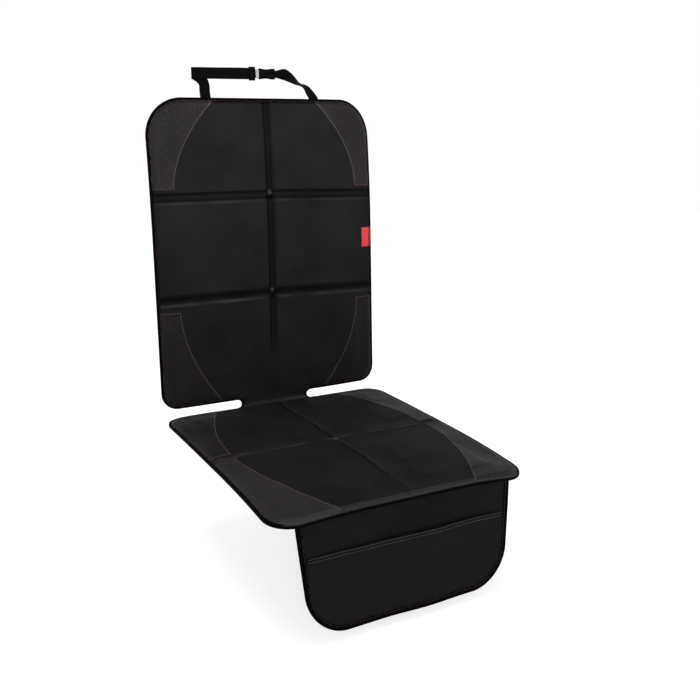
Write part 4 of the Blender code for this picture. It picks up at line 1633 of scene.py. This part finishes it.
@dataclass
class FoldedTape:
    """Binding tape folded over an edge: a rounded U carried along the edge's path."""

    name: str
    place: Placer
    path: Array
    top: float
    reach: float
    seed: int
    lowest: float = -1.0
    stitch_in: float = 0.0016
    pitch: float = 0.0034

    def build(self) -> tuple[bpy.types.Object, Rows]:
        """Makes the tape, and works out the stitch lines near its two lips.

        The section runs from the front lip out over the edge, round half an ellipse, and back
        to the rear lip. It dips where the stitches pull it down, and its lips wander a little.

        Returns:
            The tape, and pairs of stitch points and outward directions.
        """
        s = SIZES
        path = resampled(self.path, 0.0028)
        step = np.gradient(path, axis=0)
        step /= np.linalg.norm(step, axis=1, keepdims=True)
        out = np.stack([step[:, 1], -step[:, 0]], -1)
        low, mid = -s.gap - s.tape, (self.top - s.gap - s.tape) / 2
        radius = self.top - mid
        turns = np.linspace(math.pi / 2, -math.pi / 2, 9)
        front = np.array([[-self.reach, self.top - 0.0009], [-self.reach + 0.0002, self.top - 0.0002]])
        run = np.linspace(-self.reach + 0.0012, -0.0008, 5)
        flat = np.stack([run, np.full(5, self.top)], -1)
        bend = np.stack([s.inset * np.cos(turns), mid + radius * np.sin(turns)], -1)
        rear = np.array([[-0.004, low], [-self.reach, low], [-self.reach, low + 0.0009]])
        section = np.concatenate([front, flat, bend, rear])
        count = len(path)
        wander = 0.0003 * noise_line(count, 4.0, self.seed + 11)
        swell = 0.00025 * noise_line(count, 2.5, self.seed + 12)
        along = lengths(path)
        dip = 0.00022 * np.cos(along / self.pitch * 2 * np.pi)
        outward = np.broadcast_to(section[None, :, 0], (count, len(section))).copy()
        height = np.broadcast_to(section[None, :, 1], (count, len(section))).copy()
        near_lip = bell(outward, self.stitch_in - self.reach, 0.0014)
        on_front = np.arange(len(section)) < len(front) + len(flat)
        outward += wander[:, None] * (np.abs(outward + self.reach) < 0.002)
        height += np.where(on_front, near_lip * (dip[:, None] - 0.0004), 0)
        height += np.where(on_front, swell[:, None] * smooth((outward + self.reach) / 0.004), 0)
        flat_points = path[:, None] + out[:, None] * outward[..., None]
        flat_points[..., 1] = np.maximum(flat_points[..., 1], self.lowest)
        rings = self.place(flat_points[..., 0], flat_points[..., 1], height)
        round_ = lengths(section)
        uv = np.stack(np.broadcast_arrays(round_[None], along[:, None]), -1)
        obj = swept_object(self.name, rings, uv, closed=False)
        if self.facing_in(obj.data):
            obj.data.flip_normals()
        rows = []
        for height_at, sign in ((self.top - 0.00035, 1), (low, -1)):
            at = path - out * (self.reach - self.stitch_in)
            base = self.place(at[:, 0], at[:, 1], np.full(count, height_at))
            lifted = self.place(at[:, 0], at[:, 1], np.full(count, height_at + sign * 0.001))
            rows.append((base, lifted - base))
        return obj, rows

    @staticmethod
    def facing_in(mesh: bpy.types.Mesh) -> bool:
        """True if the faces point towards the mesh's middle more than away from it."""
        centre = face_rows(mesh, "center")
        return bool(((centre - centre.mean(0)) * face_rows(mesh, "normal")).sum() < 0)


@dataclass
class Flap:
    """The front flap with its mesh pocket, hem and binding."""

    step: float = 0.0030
    seed: int = 31
    sway_run: float = 0.06
    sway_size: float = 0.0011
    hem_stitch_high: float = 0.0016
    hem_stitch_low: float = 0.0018

    def sway(self, across: Array, along: Array) -> Array:
        """Slow waves of the hanging cloth, which grow downwards from the sewn top edge."""
        share = smooth(along / self.sway_run)
        return share * (self.sway_size * noise_field(across, along * 0.4, 0.16, self.seed))

    def lay(self, across: Array, along: Array, height: Array) -> Array:
        """Places a flap point with the hanging cloth's waves."""
        return flap_point(across, along, height + self.sway(across, along))

    def corners(self, across: Array, along: Array) -> tuple[Array, Array]:
        """Rounds the two lower corners: each square ring becomes an arc.

        Args:
            across: distance from the middle, on the square cloth.
            along: distance down, on the square cloth.

        Returns:
            Both on the cut cloth.
        """
        f, s = FLAP, SIZES
        half, radius, end = f.half - s.inset, f.radius - s.inset, f.drop - s.inset
        p = (np.abs(across) - (half - radius)) / radius
        q = (along - end + radius) / radius
        corner = (p > 0) & (q > 0)
        ring = np.where(corner, np.maximum(p, q) / np.maximum(np.hypot(p, q), 1e-9), 1)
        across = np.where(corner, np.sign(across) * (half - radius + p * ring * radius), across)
        return across, np.where(corner, end + q * ring * radius - radius, along)

    def belly(self, u: Array, v: Array) -> Array:
        """How far the slack pocket stands off the flap: one minus the square in both directions.

        Args:
            u: across the flap.
            v: down the flap.

        Returns:
            The distance in metres.
        """
        f, s = FLAP, SIZES
        lip = f.half - s.inset - f.tape_width - s.gap
        bottom = f.drop - s.inset - f.tape_width - s.gap
        down = (v - f.pocket_top) / (bottom - f.pocket_top)
        inside = np.abs(u) / lip
        full = f.slack * np.clip(1 - inside**2, 0, 1) * np.clip(1 - down**2, 0, 1)
        return full + 0.0004 * np.clip(1 - inside**2, 0, 1) * noise_field(u, v, 0.05, self.seed + 5)

    def build(self) -> None:
        """Makes the flap's cloth, pocket, hem, tape and stitches."""
        f, s = FLAP, SIZES
        half, end = f.half - s.inset, f.drop - s.inset
        lines = graded(-half, half, self.step, [0.0]), graded(0.0, end, self.step, [f.pocket_top])
        u, v = np.meshgrid(*lines)
        across, along = self.corners(u, v)
        uv = np.stack([across, along], -1)
        cloth = grid_object("flap_cloth", self.lay(across, along, 0 * u + f.cloth), uv, None, True)
        thicken(cloth, f.cloth)
        dress(cloth, FLAP_CLOTH, "face_cloth", "flap_panel")
        area = 4 * half * end / 2 - (4 - math.pi) * f.radius**2 / 2

        low = v[:, 0] >= f.pocket_top - 1e-9
        stand = f.cloth + s.gap + f.mesh + self.belly(u[low], v[low])
        hung = self.lay(across[low], along[low], stand)
        pocket = grid_object("pocket_mesh_cloth", hung, uv[low], None, True)
        thicken(pocket, f.mesh)
        dress(pocket, MESH, "pocket_mesh", "mesh_pocket")
        area -= 2 * half * f.pocket_top

        lip = half - f.tape_width - s.gap
        hem_u, hem_v = np.meshgrid(
            graded(-lip, lip, self.step, [0.0]), f.pocket_top - 0.0002 + np.linspace(0, f.hem_width, 6)
        )
        puff = np.array([0.2, 0.8, 1.0, 1.0, 0.8, 0.0])[:, None]
        stand = f.cloth + s.gap + f.mesh + self.belly(hem_u, hem_v) + 0.0001 + 0.0007 * puff
        hem = grid_object(
            "pocket_hem_tape", self.lay(hem_u, hem_v, stand), np.stack([hem_v, hem_u], -1), None, True
        )
        dress(hem, FLAP_CLOTH, "binding_tape", "pocket_hem")

        rows = []
        for inset in (self.hem_stitch_high, f.hem_width - self.hem_stitch_low):
            line_u = np.linspace(-lip + 0.002, lip - 0.002, 160)
            line_v = np.full_like(line_u, f.pocket_top + inset)
            stand = f.cloth + s.gap + f.mesh + self.belly(line_u, line_v) + 0.0009
            base = self.lay(line_u, line_v, stand)
            rows.append((base, self.lay(line_u, line_v, stand + 0.001) - base))
        stitches = Stitching("pocket_hem_stitches", 0.0034, 0.0027, 0.00045)
        stitches.build(rows, HEM_THREAD, "binding_tape")

        side = np.arange(s.gap + 2 * s.tape, end, 0.0022)
        bottom = np.arange(-half, half, 0.0022)[::-1]
        path_u = np.concatenate([np.full_like(side, half), bottom, np.full_like(side, -half)])
        path_v = np.concatenate([side, np.full_like(bottom, end), side[::-1]])
        path = np.stack(self.corners(path_u, path_v), -1)
        top = f.cloth + s.gap + f.mesh + s.gap + s.tape
        tape, rows = FoldedTape("flap_edge_tape", self.lay, path, top, 0.0080, self.seed).build()
        dress(tape, EDGE_TAPE, "binding_tape", "flap_binding")
        Stitching("flap_tape_stitches").build(rows, SEAM_THREAD, "binding_tape")


# Strap, slider and buckle


@dataclass
class Strap:
    """The webbing over the top edge, in two lengths, and the pieces it runs through."""

    width: float = 0.0205
    thick: float = 0.0012
    loop: float = 0.0016
    narrow: float = 0.0134
    tail: float = 0.034
    left_x: float = -0.1155
    right_x: float = 0.1070
    rise: float = 0.0450
    behind: float = 0.0075
    slider_x: tuple[float, float] = (-0.0255, -0.0145)
    plug_x: tuple[float, float] = (-0.0135, -0.0066)
    socket_x: tuple[float, float] = (-0.0063, 0.0270)
    bar: float = 0.0025

    @property
    def run_y(self) -> float:
        """The middle of the level run, from front to rear."""
        s = SIZES
        clear = s.lean + s.gap + s.tape + s.gap + self.thick / 2
        return s.crease_y + clear + s.sweep_left + self.loop

    @property
    def run_z(self) -> float:
        """The height of the level run's middle."""
        return SIZES.back_height + self.rise

    def tail_stations(self, x: float) -> list[Station]:
        """The sewn end, flat on the rear of the panel, from its low end upwards.

        Args:
            x: its middle.

        Returns:
            Rows of place, width direction and width.
        """
        s = SIZES
        lie = -(s.gap + s.tape + s.gap + self.thick / 2)
        made = []
        for d in (-self.tail, -0.024, -0.016, -0.010, -0.004, s.gap):
            along = np.full(3, s.back_height + d)
            across = np.array([x - self.width / 2, x, x + self.width / 2])
            y = back_point(across, along, np.full(3, lie))[:, 1]
            made.append((x, y[1], along[0], (1, (y[2] - y[0]) / self.width, 0), self.width))
        return made

    def loop_stations(self, bar_x: float, heading: int) -> list[Station]:
        """Webbing round a bar: in along the front, round half a circle, and back along the rear.

        Args:
            bar_x: the bar's middle.
            heading: 1 to turn back from the right, −1 from the left.

        Returns:
            Rows of place, width direction and width.
        """
        made = []
        for a in np.radians([-90, -60, -30, 0, 30, 60, 90]):
            x = bar_x + heading * self.loop * math.cos(a)
            y = self.run_y + self.loop * math.sin(a)
            made.append((x, y, self.run_z, (0, 0, 1), self.narrow))
        return made

    def webbing(self, name: str, stations: list[Station], node: str) -> bpy.types.Object:
        """Carries a flat rounded section along a smooth curve through the stations.

        The curve is a Catmull-Rom spline through rows of place, width direction and width. The
        section is a rectangle with softened edges, a little thicker at its two selvedges.

        Args:
            name: the piece's name.
            stations: rows of (x, y, z, width direction, width).
            node: the CAD node that it stands for.

        Returns:
            The webbing.
        """
        rows = np.array([(*row[:3], *row[3], row[4]) for row in stations], float)
        ends = np.concatenate([2 * rows[:1] - rows[1:2], rows, 2 * rows[-1:] - rows[-2:-1]])
        t = np.linspace(0, 1, 7, endpoint=False)[:, None]
        made = []
        for a, b, c, d in zip(ends, ends[1:], ends[2:], ends[3:]):
            cubic = 3 * (b - c) + d - a
            made.append(b + 0.5 * t * (c - a + t * (2 * a - 5 * b + 4 * c - d + t * cubic)))
        line = resampled(np.concatenate([*made, rows[-1:]]), 0.0014, 7)
        centre, way, wide = line[:, :3], line[:, 3:6], line[:, 6]
        forward = np.gradient(centre, axis=0)
        forward /= np.linalg.norm(forward, axis=1, keepdims=True)
        way = way - np.sum(way * forward, axis=1, keepdims=True) * forward
        way /= np.linalg.norm(way, axis=1, keepdims=True)
        out = np.cross(forward, way)
        x = np.array([-1.0, -0.97, -0.86, -0.5, 0, 0.5, 0.86, 0.97, 1.0])
        y = np.array([0.0, 0.42, 0.50, 0.44, 0.44, 0.44, 0.50, 0.42, 0.0])
        sx = np.concatenate([x, x[-2:0:-1]])
        sy = np.concatenate([y, -y[-2:0:-1]])
        along = lengths(centre)
        rings = (
            centre[:, None]
            + way[:, None] * (wide[:, None] / 2 * sx)[..., None]
            + out[:, None] * (self.thick * sy)[None, :, None]
        )
        uv = np.stack(np.broadcast_arrays((wide[:, None] / 2) * sx, along[:, None]), -1)
        obj = swept_object(name, rings[:, ::-1], uv[:, ::-1])
        return dress(obj, WEBBING, "webbing", node)

    def left(self) -> bpy.types.Object:
        """Makes the left length: up from its tail, over into the level run, and round the plug's bar.

        Returns:
            The webbing.
        """
        up, x0, z0 = (0, 0, 1), self.left_x, SIZES.back_height
        front, rear = self.run_y - self.loop, self.run_y + self.loop
        turn = [
            (0.02, 0.15, 0.25, (1, 0, 0.02)), (0.03, 0.35, 0.50, (1, 0, 0.10)),
            (-0.10, 0.65, 0.68, (0.92, 0, 0.38)), (-0.42, 0.95, 0.83, (0.62, 0, 0.78)),
            (-0.80, 1.00, 0.93, (0.20, 0, 0.98)),
            (-1.00, 0.85, 0.96, up), (-1.11, 0.50, 0.965, up), (-1.00, 0.10, 0.965, up),
            (-0.73, 0.00, 0.97, up), (1.00, 0.00, 0.98, up),
        ]
        made = self.tail_stations(x0)
        for side, behind, rise, way in turn:
            y = front + behind * self.behind
            made.append((x0 + side * self.width, y, z0 + rise * self.rise, way, self.width))
        before, after = self.slider_x[0] - self.thick, self.slider_x[1] - self.thick
        made += [(before, front, self.run_z, up, self.width), (after, front, self.run_z, up, self.narrow)]
        made += self.loop_stations(self.plug_x[0] + self.bar, 1)
        made += [
            (after, rear, self.run_z, up, self.narrow), (before, rear, self.run_z, up, self.width),
            (self.slider_x[0] - self.width / 2, rear, self.run_z, up, self.width),
        ]
        return self.webbing("strap_webbing_left", made, "strap_left")

    def right(self) -> bpy.types.Object:
        """Makes the right length: round the socket's bar, then twisted down to its tail.

        Returns:
            The webbing.
        """
        bar_x = self.socket_x[1] - self.bar
        front, rear = self.run_y - self.loop, self.run_y + self.loop
        start, up = bar_x + self.width, (0, 0, 1)
        beside = bar_x + self.bar + 3 * self.thick
        made = [(start, rear, self.run_z, up, self.width), (beside, rear, self.run_z, up, self.narrow)]
        made += self.loop_stations(bar_x, -1)[::-1]
        made += [
            (beside, front, self.run_z, up, self.narrow),
            (start, front, self.run_z, up, self.width),
        ]
        twist = [
            (0.18, 0.90, (0.10, 0.25, 0.95)), (0.37, 0.75, (0.28, 0.62, 0.72)),
            (0.56, 0.60, (0.50, 0.84, 0.20)), (0.75, 0.45, (0.84, 0.52, 0.10)),
            (0.91, 0.22, (0.95, 0.28, 0.03)),
        ]
        for share, rise, way in twist:
            x = start + share * (self.right_x - start)
            made.append((x, front, SIZES.back_height + rise * self.rise, way, self.width))
        made += self.tail_stations(self.right_x)[::-1]
        return self.webbing("strap_webbing_right", made, "strap_right")

    def tail_rows(self) -> Rows:
        """The sewn box with its cross on each tail.

        Returns:
            Pairs of points and outward directions.
        """
        s = SIZES
        w = self.width / 2 - 0.0025
        low, high = s.back_height - self.tail + 0.003, s.back_height - 0.006
        corners = [(-w, low), (w, low), (w, high), (-w, high), (-w, low), (w, high), (-w, high), (w, low)]
        rows = []
        lie = -(s.gap + s.tape + s.gap + self.thick * 0.94)
        for x0 in (self.left_x, self.right_x):
            for (a, b), (c, d) in zip(corners, corners[1:]):
                t = np.linspace(0, 1, 12)
                u, v = x0 + a + (c - a) * t, b + (d - b) * t
                base = back_point(u, v, np.full(12, lie))
                rows.append((base, back_point(u, v, np.full(12, lie - 0.001)) - base))
        return rows

    def build(self) -> None:
        """Makes the webbing, its stitches, the slider and the buckle."""
        self.left()
        self.right()
        stitches = Stitching("strap_tail_stitches", 0.0030, 0.0023, 0.00028)
        stitches.build(self.tail_rows(), DARK_THREAD, "webbing")
        Buckle(self).build()


def rounded_ring(half_y: Array, half_z: Array, power: float, count: int) -> tuple[Array, Array]:
    """A superellipse: |y/a|^n + |z/b|^n = 1, at evenly turned angles.

    Args:
        half_y: each ring's a.
        half_z: each ring's b.
        power: n.
        count: points in a ring.

    Returns:
        Rows of y and of z.
    """
    a = np.linspace(0, 2 * np.pi, count, endpoint=False) + np.pi / count
    c, s = np.cos(a), np.sin(a)
    y = np.sign(c) * np.abs(c) ** (2 / power)
    z = np.sign(s) * np.abs(s) ** (2 / power)
    return np.asarray(half_y)[:, None] * y, np.asarray(half_z)[:, None] * z


@dataclass
class Buckle:
    """The slider, and the side-release buckle's plug and socket, as moulded."""

    strap: Strap
    round_: int = 48

    def tube(
        self, name: str, x: Array, half_y: Array, half_z: Array, power: float, caps: bool = True
    ) -> bpy.types.Object:
        """Carries a superellipse along X.

        Args:
            name: the piece's name.
            x: each ring's place.
            half_y: each ring's half depth.
            half_z: each ring's half height.
            power: how square the rings are.
            caps: closes the ends. Without them the rings turn the other way, for a sleeve.

        Returns:
            The tube.
        """
        y, z = rounded_ring(half_y, half_z, power, self.round_)
        s = self.strap
        rings = np.stack(np.broadcast_arrays(x[:, None], s.run_y + y, s.run_z + z), -1)
        uv = np.stack(np.broadcast_arrays(x[:, None] + 0 * y, z), -1)
        if not caps:
            rings, uv = rings[:, ::-1], uv[:, ::-1]
        return swept_object(name, rings, uv, caps=caps)

    def sleeve(
        self, name: str, x0: float, x1: float, outer: tuple[float, float], inner: tuple[float, float]
    ) -> bpy.types.Object:
        """A sleeve open at both ends: the outside profile, round each lip, and back through the slot.

        Args:
            name: the piece's name.
            x0: the left end.
            x1: the right end.
            outer: half sizes (y, z) outside.
            inner: half sizes (y, z) of the slot.

        Returns:
            The sleeve, whose first and last rings are joined.
        """
        lip = 0.0006
        near, mid = 0.3 * lip, (x0 + x1) / 2
        x = np.array([
            x0 + lip, x0 + near, x0, x0, x0 + near, mid, x1 - near, x1, x1, x1 - near, x1 - lip, mid
        ])
        grow = np.array([1, 0.8, 0.35, 0, 0, 0, 0, 0, 0.35, 0.8, 1, 1.0])
        inside = np.array([0, 0, 0, 0.4, 1, 1, 1, 0.4, 0, 0, 0, 0.0])
        out_y, out_z = outer[0] - lip * (1 - grow), outer[1] - lip * (1 - grow)
        half_y = out_y * (1 - inside) + inner[0] * inside
        half_z = out_z * (1 - inside) + inner[1] * inside
        order = np.r_[0 : len(x), 0]
        return self.tube(name, x[order], half_y[order], half_z[order], 9.0, caps=False)

    def build(self) -> None:
        """Makes and dresses the three mouldings."""
        st, s = self.strap, SIZES
        slot_y = st.loop + st.thick / 2 + s.gap
        slider = self.sleeve(
            "slider_moulding", *st.slider_x, (slot_y + s.tape, 0.0125), (slot_y, st.width / 2 + s.gap)
        )
        dress(slider, BLACK_PLASTIC, "black_plastic", "strap_slider")

        x0, x1 = st.plug_x
        x = np.array([x0, x0 + 0.0003, x0 + 0.0010, x0 + 0.0022, x1 - 0.0012, x1 - 0.0004, x1, x1 + 0.0012])
        half_y = np.array([0.0016, 0.0020, 0.0024, 0.0025, 0.0025, 0.0024, 0.0021, 0.0014])
        half_z = np.array([0.0076, 0.0080, 0.00825, 0.00825, 0.0081, 0.0079, 0.0076, 0.0070])
        plug = self.tube("plug_moulding", x, half_y, half_z, 5.0)
        dress(plug, GREY_PLASTIC, "plug_plastic", "buckle_plug")

        x0, x1 = st.socket_x
        share = np.array([0, 0.01, 0.04, 0.12, 0.22, 0.36, 0.52, 0.66, 0.80, 0.90, 0.97, 1.0])
        x = x0 + (x1 - x0) * share
        half_y = 0.0036 * np.array([0.80, 0.93, 0.99, 1.0, 1.0, 1.0, 1.0, 0.98, 0.90, 0.74, 0.60, 0.50])
        half_z = 0.0099 * np.array([0.92, 0.97, 1.0, 1.0, 0.94, 0.86, 0.86, 0.93, 0.99, 1.0, 0.98, 0.94])
        socket = self.tube("socket_moulding", x, half_y, half_z, 4.0)
        dress(socket, BLACK_PLASTIC, "black_plastic", "buckle_socket")


@dataclass
class SideLabel:
    """The folded red label sewn into the right edge of the backrest, left bare."""

    low: float = 0.309
    high: float = 0.350
    length: float = 0.0255
    inset: float = 0.0030
    cloth: float = 0.0008

    def build(self, panel: QuiltedPanel) -> bpy.types.Object:
        """A sheet over the binding's front lip: it follows the cloth, then steps up onto the tape.

        Args:
            panel: the backrest panel.

        Returns:
            The label.
        """
        s = SIZES
        outer = s.width / 2 - self.inset
        inner = outer - self.length
        u, v = np.meshgrid(np.linspace(inner, outer, 22), np.linspace(self.low, self.high, 26))
        lip = s.half - panel.tape_reach
        step_up = smooth((u - lip + 0.0035) / 0.0035)
        base = np.maximum(panel.height(u, v), 0) * (1 - step_up) + s.tape_top * step_up
        edge = np.minimum(np.minimum(v - self.low, self.high - v), u - inner) / 0.0012
        puff = 0.00035 + 0.0012 * smooth(edge + 0.2) + 0.0003 * noise_field(u, v, 0.02, 77)
        points = back_point(u, v, base + puff)
        # Painted shade: the label darkens where it turns over the tape's edge away from the lamps, and at
        # its ends.
        turned = smooth((u - outer + 0.0105) / 0.0060)
        ends = 1 - smooth(np.minimum(v - self.low, self.high - v) / 0.0024)
        tone = np.clip(0.62 * turned + 0.55 * ends, 0, 0.8)
        made = grid_object("side_label_cloth", points, np.stack([v, u], -1), None, False, tone)
        thicken(made, self.cloth)
        dress(made, LABEL, "label_cloth", "side_tag")
        return made


# Studio


@dataclass
class Studio:
    """Pale floor, white surroundings, soft lamps and the photograph's camera."""

    eye: Place = (-0.6995, -1.4198, 0.5494)
    yaw: float = math.radians(-28.42)
    pitch: float = math.radians(13.93)
    roll: float = -0.0032
    lens: float = 46.0
    floor_z: float = -0.2145
    floor_half: float = 6.0
    fill: float = 0.46

    def camera(self) -> None:
        """Aims the camera by yaw, pitch and roll at the fitted place."""
        data = bpy.data.cameras.new("camera")
        data.lens, data.sensor_width = self.lens, 36.0
        data.clip_start, data.clip_end = 0.05, 50.0
        cam = link(bpy.data.objects.new("camera", data))
        level = math.cos(self.pitch)
        back = [math.sin(self.yaw) * level, -math.cos(self.yaw) * level, math.sin(self.pitch)]
        cam.matrix_world = self.aimed(self.eye, np.array(back), (0.0, 0.0, 1.0), self.roll)
        bpy.context.scene.camera = cam

    @staticmethod
    def aimed(place: Place, back: Array, up: Place, roll: float = 0.0) -> Matrix:
        """The place and turn of a camera or a lamp.

        Args:
            place: where it stands.
            back: the direction away from what it is aimed at, one long.
            up: a direction that its x axis is square to.
            roll: its turn about its own axis, in radians.

        Returns:
            Its world matrix.
        """
        x = np.cross(up, back)
        x /= np.linalg.norm(x)
        y = np.cross(back, x)
        c, s = math.cos(roll), math.sin(roll)
        x, y = c * x + s * y, c * y - s * x
        rows = np.stack([x, y, back], 1).tolist()
        return Matrix([[*row, e] for row, e in zip(rows, place)] + [[0, 0, 0, 1]])

    @staticmethod
    def seen(tree: bpy.types.NodeTree) -> bpy.types.NodeSocket:
        """One for rays to the eye, in mirrors and through glass, and zero for the rest.

        Args:
            tree: the node tree to add it to.

        Returns:
            The value's socket.
        """
        path = add_node(tree, "ShaderNodeLightPath")
        direct = add_node(
            tree, "ShaderNodeMath", {"operation": "MAXIMUM"},
            {0: path.outputs["Is Camera Ray"], 1: path.outputs["Is Glossy Ray"]},
        )
        both = add_node(
            tree, "ShaderNodeMath", {"operation": "MAXIMUM"},
            {0: direct.outputs[0], 1: path.outputs["Is Transmission Ray"]},
        )
        return both.outputs[0]

    def floor(self) -> None:
        """A wide pale floor: white to the eye and in mirrors, with the object's shadow kept."""
        h, z = self.floor_half, self.floor_z
        corners = [(-h, -h, z), (h, -h, z), (h, h, z), (-h, h, z)]
        mesh = bpy.data.meshes.new("floor")
        mesh.from_pydata(corners, [], [(0, 1, 2, 3)])
        floor = link(bpy.data.objects.new("floor", mesh))
        made = bpy.data.materials.new("pale_studio_floor")
        made.use_nodes = True
        tree = made.node_tree
        shader = tree.nodes["Principled BSDF"]
        shader.inputs["Base Color"].default_value = (0.80, 0.80, 0.80, 1)
        shader.inputs["Roughness"].default_value = 0.9
        shader.inputs["Specular IOR Level"].default_value = 0.1
        lift = add_node(tree, "ShaderNodeMath", {"operation": "MULTIPLY"}, {0: self.seen(tree), 1: 0.70})
        shader.inputs["Emission Color"].default_value = (1, 1, 1, 1)
        tree.links.new(lift.outputs[0], shader.inputs["Emission Strength"])
        floor.data.materials.append(made)

    def world(self) -> None:
        """White to the eye, in mirrors and through glass, and a plain soft fill for everything else."""
        world = bpy.data.worlds.new("white_studio")
        bpy.context.scene.world = world
        world.use_nodes = True
        tree = world.node_tree
        back = tree.nodes["Background"]
        back.inputs["Color"].default_value = (1, 1, 1, 1)
        level = add_node(
            tree, "ShaderNodeMapRange", None,
            {"Value": self.seen(tree), "To Min": self.fill, "To Max": 1.0},
        )
        tree.links.new(level.outputs[0], back.inputs["Strength"])

    def lamp(
        self, name: str, place: Place, target: Place, size: float, power: float, spread: float = 180.0
    ) -> None:
        """Adds a square soft lamp.

        Args:
            name: its name.
            place: where it stands.
            target: what it is aimed at.
            size: its side.
            power: its power in watts.
            spread: its beam's spread in degrees.
        """
        data = bpy.data.lights.new(name, "AREA")
        data.size, data.energy, data.spread = size, power, math.radians(spread)
        obj = link(bpy.data.objects.new(name, data))
        back = np.array(place, float) - np.array(target, float)
        back /= np.linalg.norm(back)
        obj.matrix_world = self.aimed(place, back, (0.0, 1.0, 0.01))

    def build(self) -> None:
        """Makes the whole stage."""
        self.camera()
        self.floor()
        self.world()
        self.lamp("top_softbox", (-0.2, 0.0, 2.4), (0, 0, 0.1), 1.6, 17)
        self.lamp("front_softbox", (-1.0, -2.6, 0.6), (0, 0.2, 0.1), 1.4, 10.5)
        self.lamp("upper_softbox", (0.1, -1.8, 1.15), (0, 0.2, 0.68), 0.7, 1.7, 38)
        self.lamp("rear_rim", (1.9, 1.4, 0.5), (0.2, 0.1, 0), 0.6, 1)


def panels() -> tuple[QuiltedPanel, QuiltedPanel]:
    """The backrest and the seat, with their folds, radii and patch seams.

    Returns:
        Both panels.
    """
    s = SIZES
    # The channels' dark and pale shares, and the patches' shades, are painted light.
    low_fold = Channel(
        s.back_low_fold, foot=0.0045, depth=0.0066, ridge=0.15, above=0.013, below=0.006,
        groove_dark=(0.45, 0.50), band_dark=0.72, rim_pale=0.65,
    )
    high_fold = Channel(
        s.back_high_fold - 0.0045, foot=0.0060, ridge=0.62, below=0.006,
        groove_dark=(0.75, 0.85), groove_wide=0.0023, band_dark=0.30, rim_pale=0.40,
    )
    back_upright = Channel(
        foot=0.0048, ridge=0.50, above=0.008, below=0.008,
        groove_dark=(0.85, 0.60), groove_wide=0.0027, band_dark=0.48,
    )
    seat_fold = Channel(
        s.seat_fold, foot=0.0038, depth=0.0044, ridge=1.0, above=0.006, below=0.006,
        groove_dark=(0.35, 0.75), groove_wide=0.0019, ridge_pale=1.0, rim_pale=0.25,
    )
    seat_upright = Channel(
        foot=0.0018, depth=0.0031, ridge=0.20, above=0.0045, below=0.0045,
        groove_dark=(0.85, 0.40), groove_wide=0.0016, rim_pale=0.25, rim_side=1,
    )
    back = QuiltedPanel(
        "back", back_point, s.notch_height + s.inset, s.back_height - s.inset,
        folds=(low_fold, high_fold), upright=back_upright, radii=(0.033, 0.072),
        necked=True, flip=False, seed=3, levels=("low", "middle", "high"),
        patches={
            "high": PatchCut(s.back_height - s.inset, 0.100, 0.440, left_shade=0.0, right_shade=0.05),
            "low": PatchCut(s.notch_height + s.inset, 0.108, 0.213, left_shade=0.32, right_shade=0.48),
        },
        fold_sag=0.0065,
    )
    seat = QuiltedPanel(
        "seat", seat_point, s.join, s.seat_depth - s.inset,
        folds=(seat_fold,), upright=seat_upright, radii=(0.045, 0.051),
        necked=False, flip=True, seed=8, levels=("rear", "front"),
        patches={
            "rear": PatchCut(s.join, 0.122, 0.253, left_shade=0.28, right_shade=0.20),
            "front": PatchCut(s.seat_depth - s.inset, 0.118, 0.271, left_shade=-0.2, right_shade=0.40),
        },
    )
    return back, seat


def main() -> None:
    """Builds the stage, then each sub-assembly in order."""
    logging.basicConfig(level=logging.INFO, format="%(name)s: %(message)s")
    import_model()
    bpy.context.scene.view_settings.view_transform = "Standard"
    Studio().build()
    back, seat = panels()
    back.build()
    seat.build()
    SideLabel().build(back)
    Flap().build()
    Strap().build()


if __name__ == "__main__":
    main()
